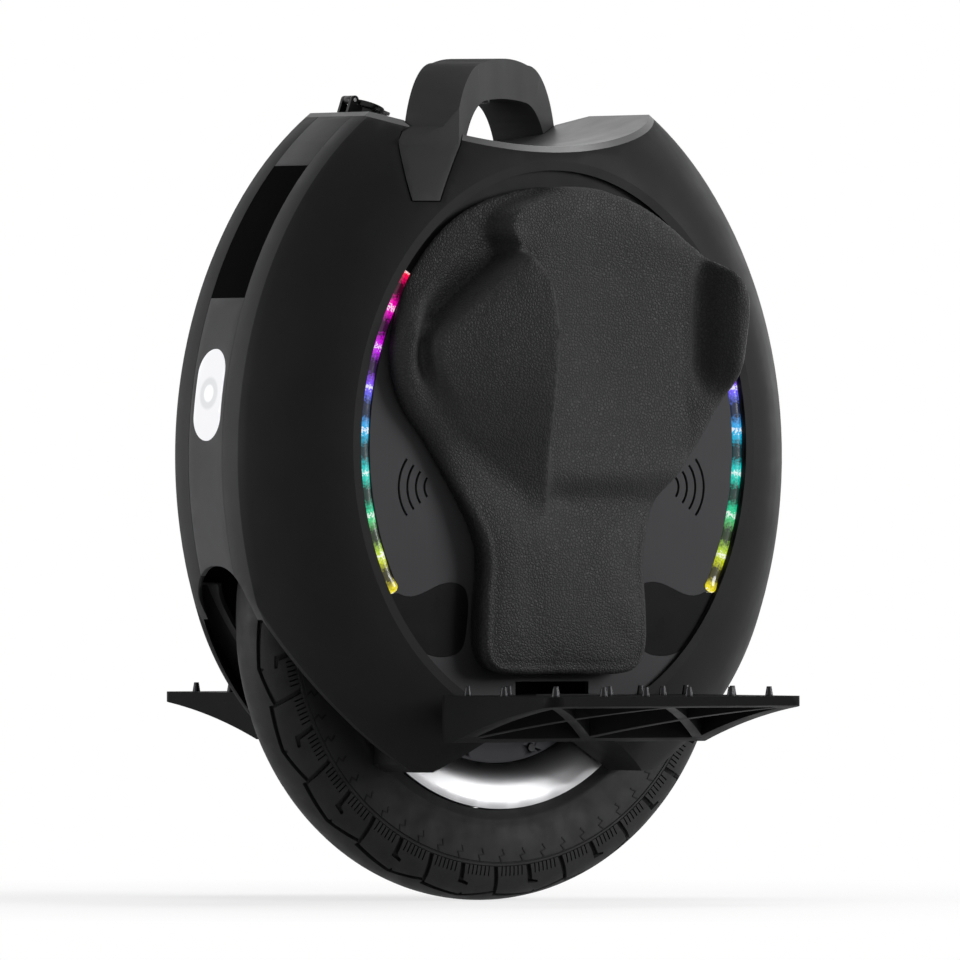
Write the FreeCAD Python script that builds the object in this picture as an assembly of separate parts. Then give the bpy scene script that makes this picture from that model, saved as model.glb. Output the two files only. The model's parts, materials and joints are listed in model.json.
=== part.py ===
import FreeCAD, Part
import math
import os

# Electric unicycle, millimetres. X points forward, Y to the rider's left, Z up.
# The origin is where the tyre meets the ground.

V = FreeCAD.Vector
ORIGIN = V(0, 0, 0)
X_AXIS = V(1, 0, 0)
Y_AXIS = V(0, 1, 0)
Z_AXIS = V(0, 0, 1)

# Shared fits
overrun = 60.0
seat_gap = 0.3
snug_gap = 0.15
running_gap = 0.04

# Tyre and wheel
tyre_radius = 181.0
tyre_half_width = 26.0
tyre_wall = 5.0
tread_depth = 4.0
tread_groove_width = 5.0
tread_lug_count = 40
tread_lug_gap = 4.0
shoulder_radius = 160.0
rim_flange_radius = 122.0
rim_flange_width = 4.0
rim_seat_radius = 117.0
rim_half_width = 25.0
rim_band_radius = 105.0
rim_bore_radius = 93.0
rim_bore_half_width = 19.0
rim_well_radius = 110.0
rim_well_half_width = 12.0
rim_band_setback = 1.5
valve_radius = 4.0
valve_length = 15.0
valve_setback = 10.0

# Hub motor
magnet_thickness = 4.6
magnet_half_width = 15.0
air_gap = 0.7
stator_half_width = 13.0
stator_hub_radius = 44.0
stator_slot_count = 18
stator_slot_width = 5.0
stator_slot_depth = 24.0
motor_cover_thickness = 3.0
motor_cover_dish = 2.4
bearing_radius = 17.5
bearing_width = 10.0
bearing_boss_wall = 8.0
cover_screw_count = 10
cover_screw_radius = 2.5
cover_screw_head = 1.6
cover_screw_edge = 6.0

# Axle
axle_radius = 8.5
axle_half_length = 57.0
axle_flat_half_width = 6.0
axle_nut_radius = 13.0
axle_nut_height = 8.0

# Body, seen from the side an ellipse with a saddle cut into its top
body_overhang = 28.4
body_half_height = 258.0
body_centre_height = 285.0
rim_face_half_width = 35.0
flank_length = 55.9
panel_rim_half_height = 183.0
panel_rim_height = 292.0
panel_rim_half_width = 88.0
flank_shares = ((0.0, 0.0), (0.22, 0.38), (0.56, 0.76), (1.0, 1.0))
shell_wall = 3.0
top_dip_height = 484.5
top_corner_height = 506.4
top_corner_reach = 107.0
cover_thickness = 4.0
lobe_start_reach = 197.5
lobe_start_height = 198.0
lobe_mid_reach = 160.0
lobe_mid_height = 141.0
lobe_foot_reach = 92.0
lobe_foot_height = 83.5
lobe_heel_reach = 80.0
lobe_inner_reach = 50.0
skirt_height = 103.0
skirt_rebate = 14.0
rebate_reach = 100.0
arch_half_width = 29.5
arch_top_height = 215.5
arch_corner_radius = 27.0

# Side panels and what they carry
panel_lip = 6.0
panel_thickness = 4.0
light_width = 8.5
light_depth = 2.2
light_stand = 0.6
light_top_angle = 40.0
light_end_angle = -31.0
insert_floor_height = 157.5
insert_height = 47.5
insert_inner_reach = 64.0
insert_length = 53.0
insert_edge_shares = ((1.0, 0.86), (0.70, 0.84), (0.46, 0.95), (0.26, 1.0), (0.06, 0.93), (0.0, 0.70),
                      (0.02, 0.42), (0.11, 0.09), (0.36, 0.0), (0.65, 0.07))
insert_start_share = 0.80
insert_end_share = -0.20
insert_depth = 1.5
slot_count = 4
slot_pitch = 6.5
slot_width = 1.6
slot_first_radius = 10.0
slot_half_angle = 38.0
slot_reach = 87.3
slot_height = 266.0
panel_screw_radius = 3.0
panel_screw_length = 14.0
panel_post_radius = 6.0
panel_post_reach = 45.0
panel_post_height = 405.0

# Front and rear strips with their lamps
strip_half_width = 20.0
strip_thickness = 3.5
window_drop = 34.4
window_height = 85.0
lamp_height = 325.0
lamp_half_height = 29.5
lamp_half_width = 16.0
lamp_depth = 16.0
lamp_wall = 2.0
lamp_bowl_radius = 11.0
lamp_bowl_throat = 5.0
tail_half_height = 26.0
tail_half_width = 12.0

# Inner frame with the wheel well
well_gap = 7.0
well_wall = 3.0
well_half_width = 31.0
frame_wall = 3.5
well_end_angle = 12.0
frame_hole_radius = 124.5

# Carry handle, a bent ribbon that crosses the saddle on a diagonal
handle_angle = 39.8
handle_half_width = 17.5
handle_foot_half_width = 7.3
handle_top_height = 542.0
handle_under_height = 516.0
handle_foot_reach = 142.0
handle_foot_shift = 3.5
handle_leg_length = 48.0
handle_knee_reach = 122.0
handle_knee_height = 485.0
handle_stand = 0.5
handle_seam = 0.7
handle_hip_height = 497.0
handle_hip_reach = 107.0
handle_shoulder_height = 527.0
handle_shoulder_reach = 84.0
handle_brow_height = 538.5
handle_brow_reach = 48.0
handle_inner_hip_reach = 86.0
handle_inner_hip_height = 490.0
handle_inner_shoulder_reach = 69.0
handle_inner_shoulder_height = 506.0
handle_inner_brow_reach = 40.0
handle_inner_brow_height = 514.5
handle_inner_foot_reach = 104.0

# Push buttons
lift_button_radius = 6.0
lift_button_height = 4.0
lift_button_stand = 2.5
lift_button_travel = 2.0
power_reach = 52.0
power_bezel_radius = 11.0
power_bezel_height = 2.2
power_bezel_depth = 16.0
power_bezel_neck = 9.0
power_button_radius = 7.0
power_button_height = 8.0
power_button_stand = 1.2
power_button_travel = 1.5
button_gap = 0.35

# Charge socket and its hinged dust cap
socket_reach = 90.0
saddle_seat_gap = 0.45
socket_flange_radius = 13.0
socket_flange_height = 2.0
socket_radius = 9.5
socket_height = 8.5
socket_bore_radius = 7.0
socket_bore_depth = 10.0
socket_tail = 14.0
cap_radius = 11.0
cap_height = 3.6
cap_lip_reach = 4.5
cap_lip_half_width = 4.0
cap_lip_height = 2.0
cap_pin_radius = 1.2
cap_pin_offset = 14.0
cap_knuckle_radius = 2.8
cap_knuckle_half_width = 3.5
cap_ear_width = 2.5
cap_swing_gap = 0.4

# Pedals, hangers and hinge pins
pedal_half_length = 97.0
pedal_inner_edge = 98.0
pedal_outer_edge = 232.0
pedal_top_height = 133.0
pedal_root_height = 103.0
pedal_root_reach = 116.0
pedal_tip_thickness = 6.0
pedal_belly = 3.0
pedal_corner_radius = 10.0
pedal_plate = 5.0
pedal_border = 11.0
pedal_rib = 6.0
pedal_pocket_start = 124.0
pin_reach = 106.0
pin_height = 122.0
pin_radius = 4.0
pin_half_length = 52.0
pedal_notch_gap = 0.6
hanger_half_length = 26.0
hanger_plate_width = 9.0
hanger_plate_half_length = 24.0
hanger_head_height = 335.0
hanger_arm_floor = 111.0
hanger_arm_top = 133.5
hanger_knuckle_radius = 10.5
hanger_slot_gap = 2.0
hanger_slot_height = 141.5
hanger_bolt_radius = 3.0
hanger_bolt_length = 6.0
hanger_bolt_reach = 16.0
hanger_bolt_height = 324.0
stud_base_radius = 2.6
stud_tip_radius = 1.6
stud_height = 6.0
stud_row_shares = ((-0.86, 0.12), (-0.52, 0.10), (0.52, 0.10), (0.86, 0.12), (-0.90, 0.48), (-0.42, 0.40),
                   (0.0, 0.40), (0.42, 0.40), (0.90, 0.48), (-0.84, 0.86), (-0.50, 0.90), (-0.17, 0.90),
                   (0.17, 0.90), (0.50, 0.90), (0.84, 0.86))

# Leg pads. Each row is one level of the pad: height, front edge, rear edge,
# then reach and depth of the front wing's crest, of the hollow and of the rear lip,
# and how far the rear edge stands off the panel.
pad_foot_height = 146.0
pad_height = 313.0
pad_half_length = 128.0
pad_depth = 54.0
pad_edge_depth = 5.0
pad_lift_reach = 92.0
pad_lift_depth = 11.0
pad_crown = 0.8
pad_swell_share = 0.12
pad_hollow_share = 0.30
pad_level_shares = (
    (0.000, 0.40, -0.41, 0.18, 0.25, 0.00, 0.26, -0.20, 0.25, 0.00),
    (0.060, 0.50, -0.49, 0.22, 0.36, 0.00, 0.37, -0.24, 0.36, 0.00),
    (0.235, 0.48, -0.47, 0.20, 0.37, 0.00, 0.38, -0.22, 0.37, 0.00),
    (0.375, 0.64, -0.62, 0.20, 0.42, -0.04, 0.32, -0.42, 0.36, 0.00),
    (0.500, 0.84, -0.84, 0.20, 0.68, -0.03, 0.30, -0.64, 0.40, 0.05),
    (0.665, 0.97, -1.00, 0.25, 0.98, -0.10, 0.26, -0.86, 0.52, 0.14),
    (0.800, 0.89, -1.00, 0.28, 0.80, -0.12, 0.24, -0.88, 0.52, 0.20),
    (0.893, 0.73, -0.735, 0.30, 0.52, -0.08, 0.22, -0.56, 0.34, 0.10),
    (0.955, 0.50, -0.46, 0.18, 0.30, -0.05, 0.20, -0.30, 0.24, 0.03),
    (1.000, 0.16, -0.16, 0.06, 0.18, -0.01, 0.17, -0.08, 0.18, 0.00),
)

# Batteries, electronics and sound
pack_inner_radius = 96.0
pack_outer_radius = 172.0
pack_depth = 33.0
pack_end_angle = 28.0
pack_top_angle = 73.0
speaker_radius = 24.0
speaker_depth = 9.0
speaker_cone_radius = 18.0
speaker_cone_depth = 5.0
sink_half_length = 55.0
sink_half_width = 28.0
sink_base = 5.0
sink_fin_height = 16.0
sink_fin_width = 2.5
sink_fin_count = 9
board_half_length = 50.0
board_half_width = 26.0
board_thickness = 2.0
board_part_radius = 8.0
board_part_height = 26.0
board_part_reach = 30.0
plug_half_length = 8.0
plug_depth = 12.0
plug_height = 36.0
cable_radius = 3.5
cable_run = 73.0
cable_bend = 11.0
cable_drop = 6.0

# Values worked out from the ones above
axle_height = tyre_radius
body_half_length = tyre_radius + body_overhang
panel_rim_half_length = body_half_length - flank_length
well_radius = tyre_radius + well_gap
window_top_height = top_corner_height - window_drop
window_foot_height = window_top_height - window_height
handle_foot_height = handle_hip_height - handle_leg_length
dip_depth = top_corner_height - top_dip_height
dip_radius = (top_corner_reach ** 2 + dip_depth ** 2) / (2 * dip_depth)
opening_half_length = panel_rim_half_length - panel_lip
opening_half_height = panel_rim_half_height - panel_lip
panel_face = panel_rim_half_width - shell_wall - seat_gap
panel_back = panel_face - panel_thickness
frame_outer = well_half_width + frame_wall
hanger_start = frame_outer + seat_gap
hanger_end = hanger_start + hanger_plate_width
sink_floor = axle_height + well_radius + well_wall + seat_gap
board_floor = sink_floor + sink_base + sink_fin_height + seat_gap
magnet_radius = rim_bore_radius - snug_gap
stator_radius = magnet_radius - magnet_thickness - air_gap
motor_cover_start = magnet_half_width + seat_gap
AXLE = V(0, 0, axle_height)


# Shape helpers

def box(low, high):
    """A box between two opposite corners."""
    size = high - low
    return Part.makeBox(size.x, size.y, size.z, low)


def polygon_wire(points):
    """A closed wire of straight edges."""
    return Part.makePolygon(list(points) + [points[0]])


def line(start, end):
    return Part.LineSegment(start, end).toShape()


def arc(start, middle, end):
    return Part.Arc(start, middle, end).toShape()


def rod_y(radius, start, end, x=0.0, z=axle_height):
    """A round rod along Y."""
    return Part.makeCylinder(radius, end - start, V(x, start, z), Y_AXIS)


def ring_y(outer, inner, start, end):
    """A ring round the axle."""
    return rod_y(outer, start, end).cut(rod_y(inner, start - overrun, end + overrun))


def turned(profile):
    """A ring turned about the axle from (radius, side) corners."""
    points = [V(radius, side, axle_height) for radius, side in profile]
    return Part.Face(polygon_wire(points)).revolve(AXLE, Y_AXIS, 360)


def ellipse_wire(half_length, half_height, centre_height, y):
    """An upright ellipse in the plane at y."""
    top = V(0, y, centre_height + half_height)
    side = V(half_length, y, centre_height)
    return Part.Wire([Part.Ellipse(top, side, V(0, y, centre_height)).toShape()])


def ellipse_prism(half_length, half_height, centre_height, start, end):
    face = Part.Face(ellipse_wire(half_length, half_height, centre_height, start))
    return face.extrude(V(0, end - start, 0))


def stadium(half_width, half_height, centre_height, start, end):
    """An upright rounded slot along X."""
    straight = half_height - half_width
    top = centre_height + straight
    foot = centre_height - straight
    edges = [
        line(V(start, half_width, foot), V(start, half_width, top)),
        arc(V(start, half_width, top), V(start, 0, top + half_width), V(start, -half_width, top)),
        line(V(start, -half_width, top), V(start, -half_width, foot)),
        arc(V(start, -half_width, foot), V(start, 0, foot - half_width), V(start, half_width, foot)),
    ]
    return Part.Face(Part.Wire(edges)).extrude(V(end - start, 0, 0))


def mirrored(shape):
    """The same piece on the rider's other side."""
    return shape.mirror(ORIGIN, Y_AXIS)


def turned_about(shape):
    """The same piece half a turn round the upright axis."""
    copy = shape.copy()
    copy.rotate(ORIGIN, Z_AXIS, 180)
    return copy


# Body form

def flank_wire(inset, inward_share, outward_share):
    """One ellipse of the flank, from the rim face out to the side panel."""
    half_length = body_half_length - inset - inward_share * (body_half_length - panel_rim_half_length)
    half_height = body_half_height - inset - inward_share * (body_half_height - panel_rim_half_height)
    centre_height = body_centre_height + inward_share * (panel_rim_height - body_centre_height)
    side = rim_face_half_width + outward_share * (panel_rim_half_width - rim_face_half_width - inset)
    return ellipse_wire(half_length, half_height, centre_height, side)


def body_side(inset):
    """Left half of the whole body form, drawn in by inset."""
    core = ellipse_prism(body_half_length - inset, body_half_height - inset, body_centre_height,
                         0, rim_face_half_width)
    flank = Part.makeLoft([flank_wire(inset, *shares) for shares in flank_shares], True)
    return core.fuse(flank)


def drawn_in(reach, height, inset):
    """A point of the lower outline, moved towards the body's centre."""
    offset = V(reach, 0, height - body_centre_height)
    offset.Length = offset.Length - inset
    return V(offset.x, -panel_rim_half_width - overrun, body_centre_height + offset.z)


def below_outline(inset):
    """All that lies below the two lobes and the skirt between them."""
    front = [drawn_in(reach, height, inset) for reach, height in (
        (lobe_start_reach, lobe_start_height), (lobe_mid_reach, lobe_mid_height),
        (lobe_foot_reach, lobe_foot_height), (lobe_heel_reach, lobe_foot_height),
        (lobe_inner_reach, skirt_height))]
    rear = [V(-point.x, point.y, point.z) for point in front]
    out = V(body_half_length + overrun, front[0].y, front[0].z)
    down = V(out.x, out.y, -overrun)
    edges = [
        arc(front[0], front[1], front[2]), line(front[2], front[3]), line(front[3], front[4]),
        line(front[4], rear[4]), line(rear[4], rear[3]), line(rear[3], rear[2]),
        arc(rear[2], rear[1], rear[0]), line(rear[0], V(-out.x, out.y, out.z)),
        line(V(-out.x, out.y, out.z), V(-down.x, down.y, down.z)),
        line(V(-down.x, down.y, down.z), down), line(down, out), line(out, front[0]),
    ]
    depth = 2 * (panel_rim_half_width + overrun)
    return Part.Face(Part.Wire(edges)).extrude(V(0, depth, 0))


def below_wall(inset):
    """All below the outline, and in the lobes all below the wall that closes them higher up."""
    depth = panel_rim_half_width + overrun
    start = rebate_reach - inset
    lobe = box(V(start, -depth, -overrun), V(body_half_length + overrun, depth, body_centre_height))
    raised = below_outline(skirt_rebate + inset).common(lobe)
    return below_outline(inset).fuse([raised, turned_about(raised)])


def saddle_cut(drop):
    """The round hollow across the top, lowered by drop."""
    reach = panel_rim_half_width + overrun
    centre = V(0, -reach, top_dip_height + dip_radius)
    return Part.makeCylinder(dip_radius + drop, 2 * reach, centre, Y_AXIS)


def arch_tunnel():
    """The opening in the front and rear faces that the tyre runs through."""
    start = -body_half_length - overrun
    shoulder = arch_top_height - arch_corner_radius
    inner = arch_half_width - arch_corner_radius
    lean = arch_corner_radius * (1 - math.sqrt(0.5))
    edges = [
        line(V(start, arch_half_width, -overrun), V(start, arch_half_width, shoulder)),
        arc(V(start, arch_half_width, shoulder), V(start, arch_half_width - lean, arch_top_height - lean),
            V(start, inner, arch_top_height)),
        line(V(start, inner, arch_top_height), V(start, -inner, arch_top_height)),
        arc(V(start, -inner, arch_top_height), V(start, lean - arch_half_width, arch_top_height - lean),
            V(start, -arch_half_width, shoulder)),
        line(V(start, -arch_half_width, shoulder), V(start, -arch_half_width, -overrun)),
        line(V(start, -arch_half_width, -overrun), V(start, arch_half_width, -overrun)),
    ]
    return Part.Face(Part.Wire(edges)).extrude(V(-2 * start, 0, 0))


def hanger_slot():
    """The way out for the pedal hanger below the side panel."""
    half = hanger_half_length + hanger_slot_gap
    return box(V(-half, frame_outer, -overrun), V(half, panel_rim_half_width + overrun, hanger_slot_height))


def left_shell():
    """Moulded shell, whose lobes are closed a little way up inside their skirt."""
    outer = body_side(0).cut(below_outline(0)).cut(saddle_cut(cover_thickness))
    hollow = body_side(shell_wall).cut(below_wall(shell_wall))
    rebate = body_side(shell_wall).common(below_wall(0))
    opening = ellipse_prism(opening_half_length, opening_half_height, panel_rim_height,
                            panel_back, panel_rim_half_width + overrun)
    half = strip_half_width + snug_gap
    slab = box(V(-body_half_length - overrun, -half, -overrun),
               V(body_half_length + overrun, half, top_corner_height + overrun))
    return outer.cut([hollow, rebate, slab, arch_tunnel(), opening, hanger_slot(), handle(handle_seam)])


def top_cover():
    """The saddle between the shells, with holes for the handle, socket and power button."""
    whole = body_side(0).fuse(mirrored(body_side(0)))
    plate = whole.cut(saddle_cut(0)).common(saddle_cut(cover_thickness))
    socket_hole = on_saddle(Part.makeCylinder(socket_radius + seat_gap, 2 * overrun, V(0, 0, -overrun)),
                            socket_reach)
    button_hole = on_saddle(Part.makeCylinder(power_bezel_neck + seat_gap, 2 * overrun, V(0, 0, -overrun)),
                            power_reach)
    return plate.cut([handle(handle_seam), socket_hole, button_hole])


def on_saddle(shape, reach):
    """Stands a shape on the saddle, square to its surface at that reach along X."""
    lean = math.degrees(math.asin(reach / dip_radius))
    rise = dip_radius - math.sqrt(dip_radius ** 2 - reach ** 2)
    placed = shape.copy()
    placed.rotate(ORIGIN, Y_AXIS, -lean)
    placed.translate(V(reach, 0, top_dip_height + rise))
    return placed


# Carry handle and lift switch

def handle_outline(clearance):
    """Side view of the ribbon, along the diagonal."""
    def right(reach, height):
        return V(reach, 0, height)

    def left(point):
        return V(-point.x, 0, point.z)

    foot = right(handle_foot_reach + clearance, handle_foot_height - clearance)
    knee = right(handle_knee_reach + clearance, handle_knee_height)
    hip = right(handle_hip_reach + clearance, handle_hip_height)
    shoulder = right(handle_shoulder_reach + clearance, handle_shoulder_height + clearance)
    brow = right(handle_brow_reach, handle_brow_height + clearance)
    crown = right(0, handle_top_height + clearance)
    inner_foot = right(handle_inner_foot_reach - clearance, handle_foot_height - clearance)
    inner_hip = right(handle_inner_hip_reach - clearance, handle_inner_hip_height)
    inner_shoulder = right(handle_inner_shoulder_reach - clearance, handle_inner_shoulder_height - clearance)
    inner_brow = right(handle_inner_brow_reach, handle_inner_brow_height - clearance)
    under = right(0, handle_under_height - clearance)
    edges = [
        line(foot, knee), line(knee, hip), arc(hip, shoulder, brow), arc(brow, crown, left(brow)),
        arc(left(brow), left(shoulder), left(hip)), line(left(hip), left(knee)),
        line(left(knee), left(foot)), line(left(foot), left(inner_foot)),
        line(left(inner_foot), left(inner_hip)),
        arc(left(inner_hip), left(inner_shoulder), left(inner_brow)),
        arc(left(inner_brow), under, inner_brow), arc(inner_brow, inner_shoulder, inner_hip),
        line(inner_hip, inner_foot), line(inner_foot, foot),
    ]
    return Part.Face(Part.Wire(edges))


def handle(clearance):
    """The ribbon with its tapered feet; a clearance gives the slots that it stands in."""
    half = handle_half_width + clearance
    foot_half = handle_foot_half_width + clearance
    foot = handle_foot_height - clearance
    top = handle_top_height + overrun
    ribbon = handle_outline(clearance)
    ribbon.translate(V(0, -half, 0))
    ribbon = ribbon.extrude(V(0, 2 * half, 0))
    taper = Part.Face(polygon_wire([
        V(0, -half, top), V(0, half, top), V(0, half, handle_knee_height),
        V(0, handle_foot_shift + foot_half, foot), V(0, handle_foot_shift - foot_half, foot),
        V(0, -half, handle_knee_height)]))
    front = ribbon.common(taper.extrude(V(handle_foot_reach + overrun, 0, 0)))
    solid = front.fuse(turned_about(front)).removeSplitter()
    solid.rotate(ORIGIN, Z_AXIS, handle_angle)
    return solid


def handle_envelope():
    """The body's own surface up to the knees and straight up from there, which trims the feet flush."""
    side = body_side(-handle_stand)
    whole = side.fuse(mirrored(side))
    reach = body_half_length + overrun
    above = box(V(-reach, -reach, handle_knee_height), V(reach, reach, handle_top_height + 2 * overrun))
    level = Part.Face(whole.slice(Z_AXIS, handle_knee_height)[0])
    return whole.cut(above).fuse(level.extrude(V(0, 0, 2 * overrun)))


def carry_handle():
    depth = lift_button_height - lift_button_stand + lift_button_travel + button_gap
    pocket = Part.makeCylinder(lift_button_radius + button_gap, overrun + depth,
                               V(0, 0, handle_under_height - overrun))
    return handle(0).common(handle_envelope()).cut(pocket)


def lift_button():
    button = Part.makeCylinder(lift_button_radius, lift_button_height,
                               V(0, 0, handle_under_height - lift_button_stand))
    return button


# Front and rear strips with lamps

def strip_skin():
    """The band of the front face between the shells, from the arch to the top cover."""
    side = strip_half_width + overrun
    outer = ellipse_prism(body_half_length, body_half_height, body_centre_height,
                          -strip_half_width, strip_half_width)
    inner = ellipse_prism(body_half_length - strip_thickness, body_half_height - strip_thickness,
                          body_centre_height, -side, side)
    behind = box(V(-body_half_length - overrun, -side, -overrun), V(0, side, top_corner_height + overrun))
    return outer.cut([inner, behind, arch_tunnel(), saddle_cut(cover_thickness)])


def strip_between(low, high):
    side = strip_half_width + overrun
    return strip_skin().common(box(V(0, -side, low), V(body_half_length + overrun, side, high)))


def lamp_lens(half_width, half_height):
    hole = stadium(half_width - snug_gap, half_height - snug_gap, lamp_height, 0, body_half_length + overrun)
    return strip_skin().common(hole)


def lamp_housing(half_width, half_height):
    """The box behind a lens, with a round bowl in it."""
    back = body_half_length - strip_thickness - lamp_depth - lamp_wall
    inset = strip_thickness + seat_gap
    case = stadium(half_width + lamp_wall, half_height + lamp_wall, lamp_height, back, body_half_length)
    case = case.common(ellipse_prism(body_half_length - inset, body_half_height - inset, body_centre_height,
                                     -half_width - overrun, half_width + overrun))
    bowl = Part.makeCone(lamp_bowl_throat, lamp_bowl_radius, lamp_depth,
                         V(back + lamp_wall, 0, lamp_height), X_AXIS)
    return case.cut(bowl)


def front_strip():
    low = strip_between(arch_top_height - arch_corner_radius, window_foot_height)
    return low.cut(stadium(lamp_half_width, lamp_half_height, lamp_height, 0, body_half_length + overrun))


def front_window():
    return strip_between(window_foot_height + snug_gap, window_top_height - snug_gap)


def front_upper_trim():
    return strip_between(window_top_height, top_corner_height)


def rear_strip():
    low = strip_between(arch_top_height - arch_corner_radius, top_corner_height)
    low = low.cut(stadium(tail_half_width, tail_half_height, lamp_height, 0, body_half_length + overrun))
    return turned_about(low)


# Side panels with lights, inserts and sound slots

def panel_wedge(first_angle, last_angle):
    """The slice of the panel between two angles of its ellipse, through the whole thickness."""
    def ray(angle):
        turn = math.radians(angle)
        return V(2 * opening_half_length * math.cos(turn), panel_back - overrun,
                 panel_rim_height + 2 * opening_half_height * math.sin(turn))

    middle = (first_angle + last_angle) / 2
    corners = [V(0, panel_back - overrun, panel_rim_height), ray(first_angle), ray(middle), ray(last_angle)]
    return Part.Face(polygon_wire(corners)).extrude(V(0, 2 * overrun, 0))


def light_strip(gap, stand):
    """One arc of lights along the front edge of the left panel; a gap gives its groove."""
    outer = ellipse_prism(opening_half_length - seat_gap + gap, opening_half_height - seat_gap + gap,
                          panel_rim_height, panel_face - light_depth - gap, panel_face + stand)
    inner = ellipse_prism(opening_half_length - light_width - gap, opening_half_height - light_width - gap,
                          panel_rim_height, panel_face - overrun, panel_face + overrun)
    return outer.cut(inner).common(panel_wedge(light_end_angle, light_top_angle))


def fore_and_aft(shape):
    """The piece and its twin at the other end of the same side."""
    return [shape, shape.mirror(ORIGIN, X_AXIS)]


def panel_insert(gap, rise):
    """The glossy patch below the front lights, with its wavy edge; a gap gives its pocket."""
    back = panel_face - insert_depth

    def corner(along_share, up_share):
        return V(insert_inner_reach - gap + along_share * (insert_length + 2 * gap), back,
                 insert_floor_height - gap + up_share * (insert_height + 2 * gap))

    points = [corner(*shares) for shares in insert_edge_shares]
    wave = Part.BSplineCurve()
    wave.interpolate(points)
    beyond = V(body_half_length - insert_inner_reach, 0, 0)
    last = corner(0, insert_end_share) + beyond
    first = corner(0, insert_start_share) + beyond
    edges = [wave.toShape(), line(points[-1], last), line(last, first), line(first, points[0])]
    patch = Part.Face(Part.Wire(edges)).extrude(V(0, insert_depth + rise, 0))
    edge = seat_gap - gap
    return patch.common(ellipse_prism(opening_half_length - edge, opening_half_height - edge,
                                      panel_rim_height, back, panel_face + rise))


def sound_slots():
    """Arcs cut through the panel in front of the speaker."""
    slots = []
    back = panel_back - overrun
    for index in range(slot_count):
        radius = slot_first_radius + index * slot_pitch
        outer = Part.makeCylinder(radius + slot_width / 2, 2 * overrun, V(0, back, 0), Y_AXIS,
                                  2 * slot_half_angle)
        core = Part.makeCylinder(radius - slot_width / 2, 2 * overrun, V(0, back, 0), Y_AXIS)
        slot = outer.cut(core)
        slot.rotate(ORIGIN, Y_AXIS, 90 - slot_half_angle)
        slot.translate(V(slot_reach, 0, slot_height))
        slots.append(slot)
    return Part.makeCompound(slots)


def panel_screws(gap):
    """Two countersunk screws that hold the panel to the frame's posts."""
    screws = []
    for reach in (-panel_post_reach, panel_post_reach):
        head = Part.makeCone(panel_screw_radius + gap, 2 * panel_screw_radius + gap, panel_screw_radius,
                             V(reach, panel_face - panel_screw_radius, panel_post_height), Y_AXIS)
        shank = rod_y(panel_screw_radius + gap, panel_face - panel_screw_length - gap, panel_face, reach,
                      panel_post_height)
        screws.append(head.fuse(shank))
    return screws


def left_side_panel():
    edge = shell_wall + seat_gap
    plate = ellipse_prism(panel_rim_half_length - edge, panel_rim_half_height - edge, panel_rim_height,
                          panel_back, panel_face)
    cuts = fore_and_aft(light_strip(snug_gap, overrun)) + fore_and_aft(panel_insert(snug_gap, overrun))
    cuts += fore_and_aft(sound_slots()) + panel_screws(snug_gap)
    return plate.cut(cuts + [hanger_slot()])


# Inner frame

def frame_side():
    """Left wall of the frame, inside the shell, open round the motor, with posts for the panel."""
    inset = shell_wall + seat_gap
    wall = ellipse_prism(body_half_length - inset, body_half_height - inset, body_centre_height,
                         well_half_width, frame_outer)
    roof = box(V(-body_half_length, -overrun, panel_post_height + 2 * panel_post_radius),
               V(body_half_length, frame_outer + overrun, top_corner_height + 2 * overrun))
    bolt_holes = hanger_bolts(snug_gap)
    motor_hole = rod_y(frame_hole_radius, -overrun, frame_outer + overrun)
    wall = wall.cut([below_outline(skirt_rebate + inset), motor_hole, roof])
    for reach in (-panel_post_reach, panel_post_reach):
        post = rod_y(panel_post_radius, frame_outer, panel_back - seat_gap, reach, panel_post_height)
        wall = wall.fuse(post)
    return wall.cut(bolt_holes + panel_screws(snug_gap))


def inner_frame():
    """The arched wheel well joined to both side walls."""
    half = well_half_width + snug_gap
    start = V(well_radius, -half, axle_height)
    section = polygon_wire([start, start + V(well_wall, 0, 0), start + V(well_wall, 2 * half, 0),
                            start + V(0, 2 * half, 0)])
    band = Part.Face(section).revolve(AXLE, -Y_AXIS, 180 - 2 * well_end_angle)
    band.rotate(AXLE, Y_AXIS, -well_end_angle)
    return band.fuse([frame_side(), mirrored(frame_side())]).removeSplitter()


# Wheel and hub motor

def tyre_profile():
    """Half section of the hollow tyre, as (radius, side) corners from the bead out and back in."""
    bead = rim_half_width - rim_flange_width - snug_gap
    seat = rim_seat_radius + snug_gap
    lip = rim_flange_radius + seat_gap
    edge = tyre_radius - tread_depth
    rib = tyre_half_width / 2
    belly = shoulder_radius - tyre_half_width
    outer = [
        (seat, bead), (lip, bead), (lip, rim_half_width - rim_band_setback), (belly, tyre_half_width),
        (shoulder_radius, tyre_half_width), (edge - tread_depth, tyre_half_width - tread_depth),
        (edge, rib + tread_groove_width), (edge, rib + tread_groove_width / 2), (edge - tread_depth, rib),
        (edge + tread_depth / 2, rib - tread_groove_width / 2), (tyre_radius, tread_groove_width),
    ]
    inner = [
        (edge - 2 * tyre_wall, 0), (shoulder_radius, tyre_half_width - tyre_wall),
        (belly, tyre_half_width - tyre_wall), (seat, bead - tyre_wall),
    ]
    return outer, inner


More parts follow.
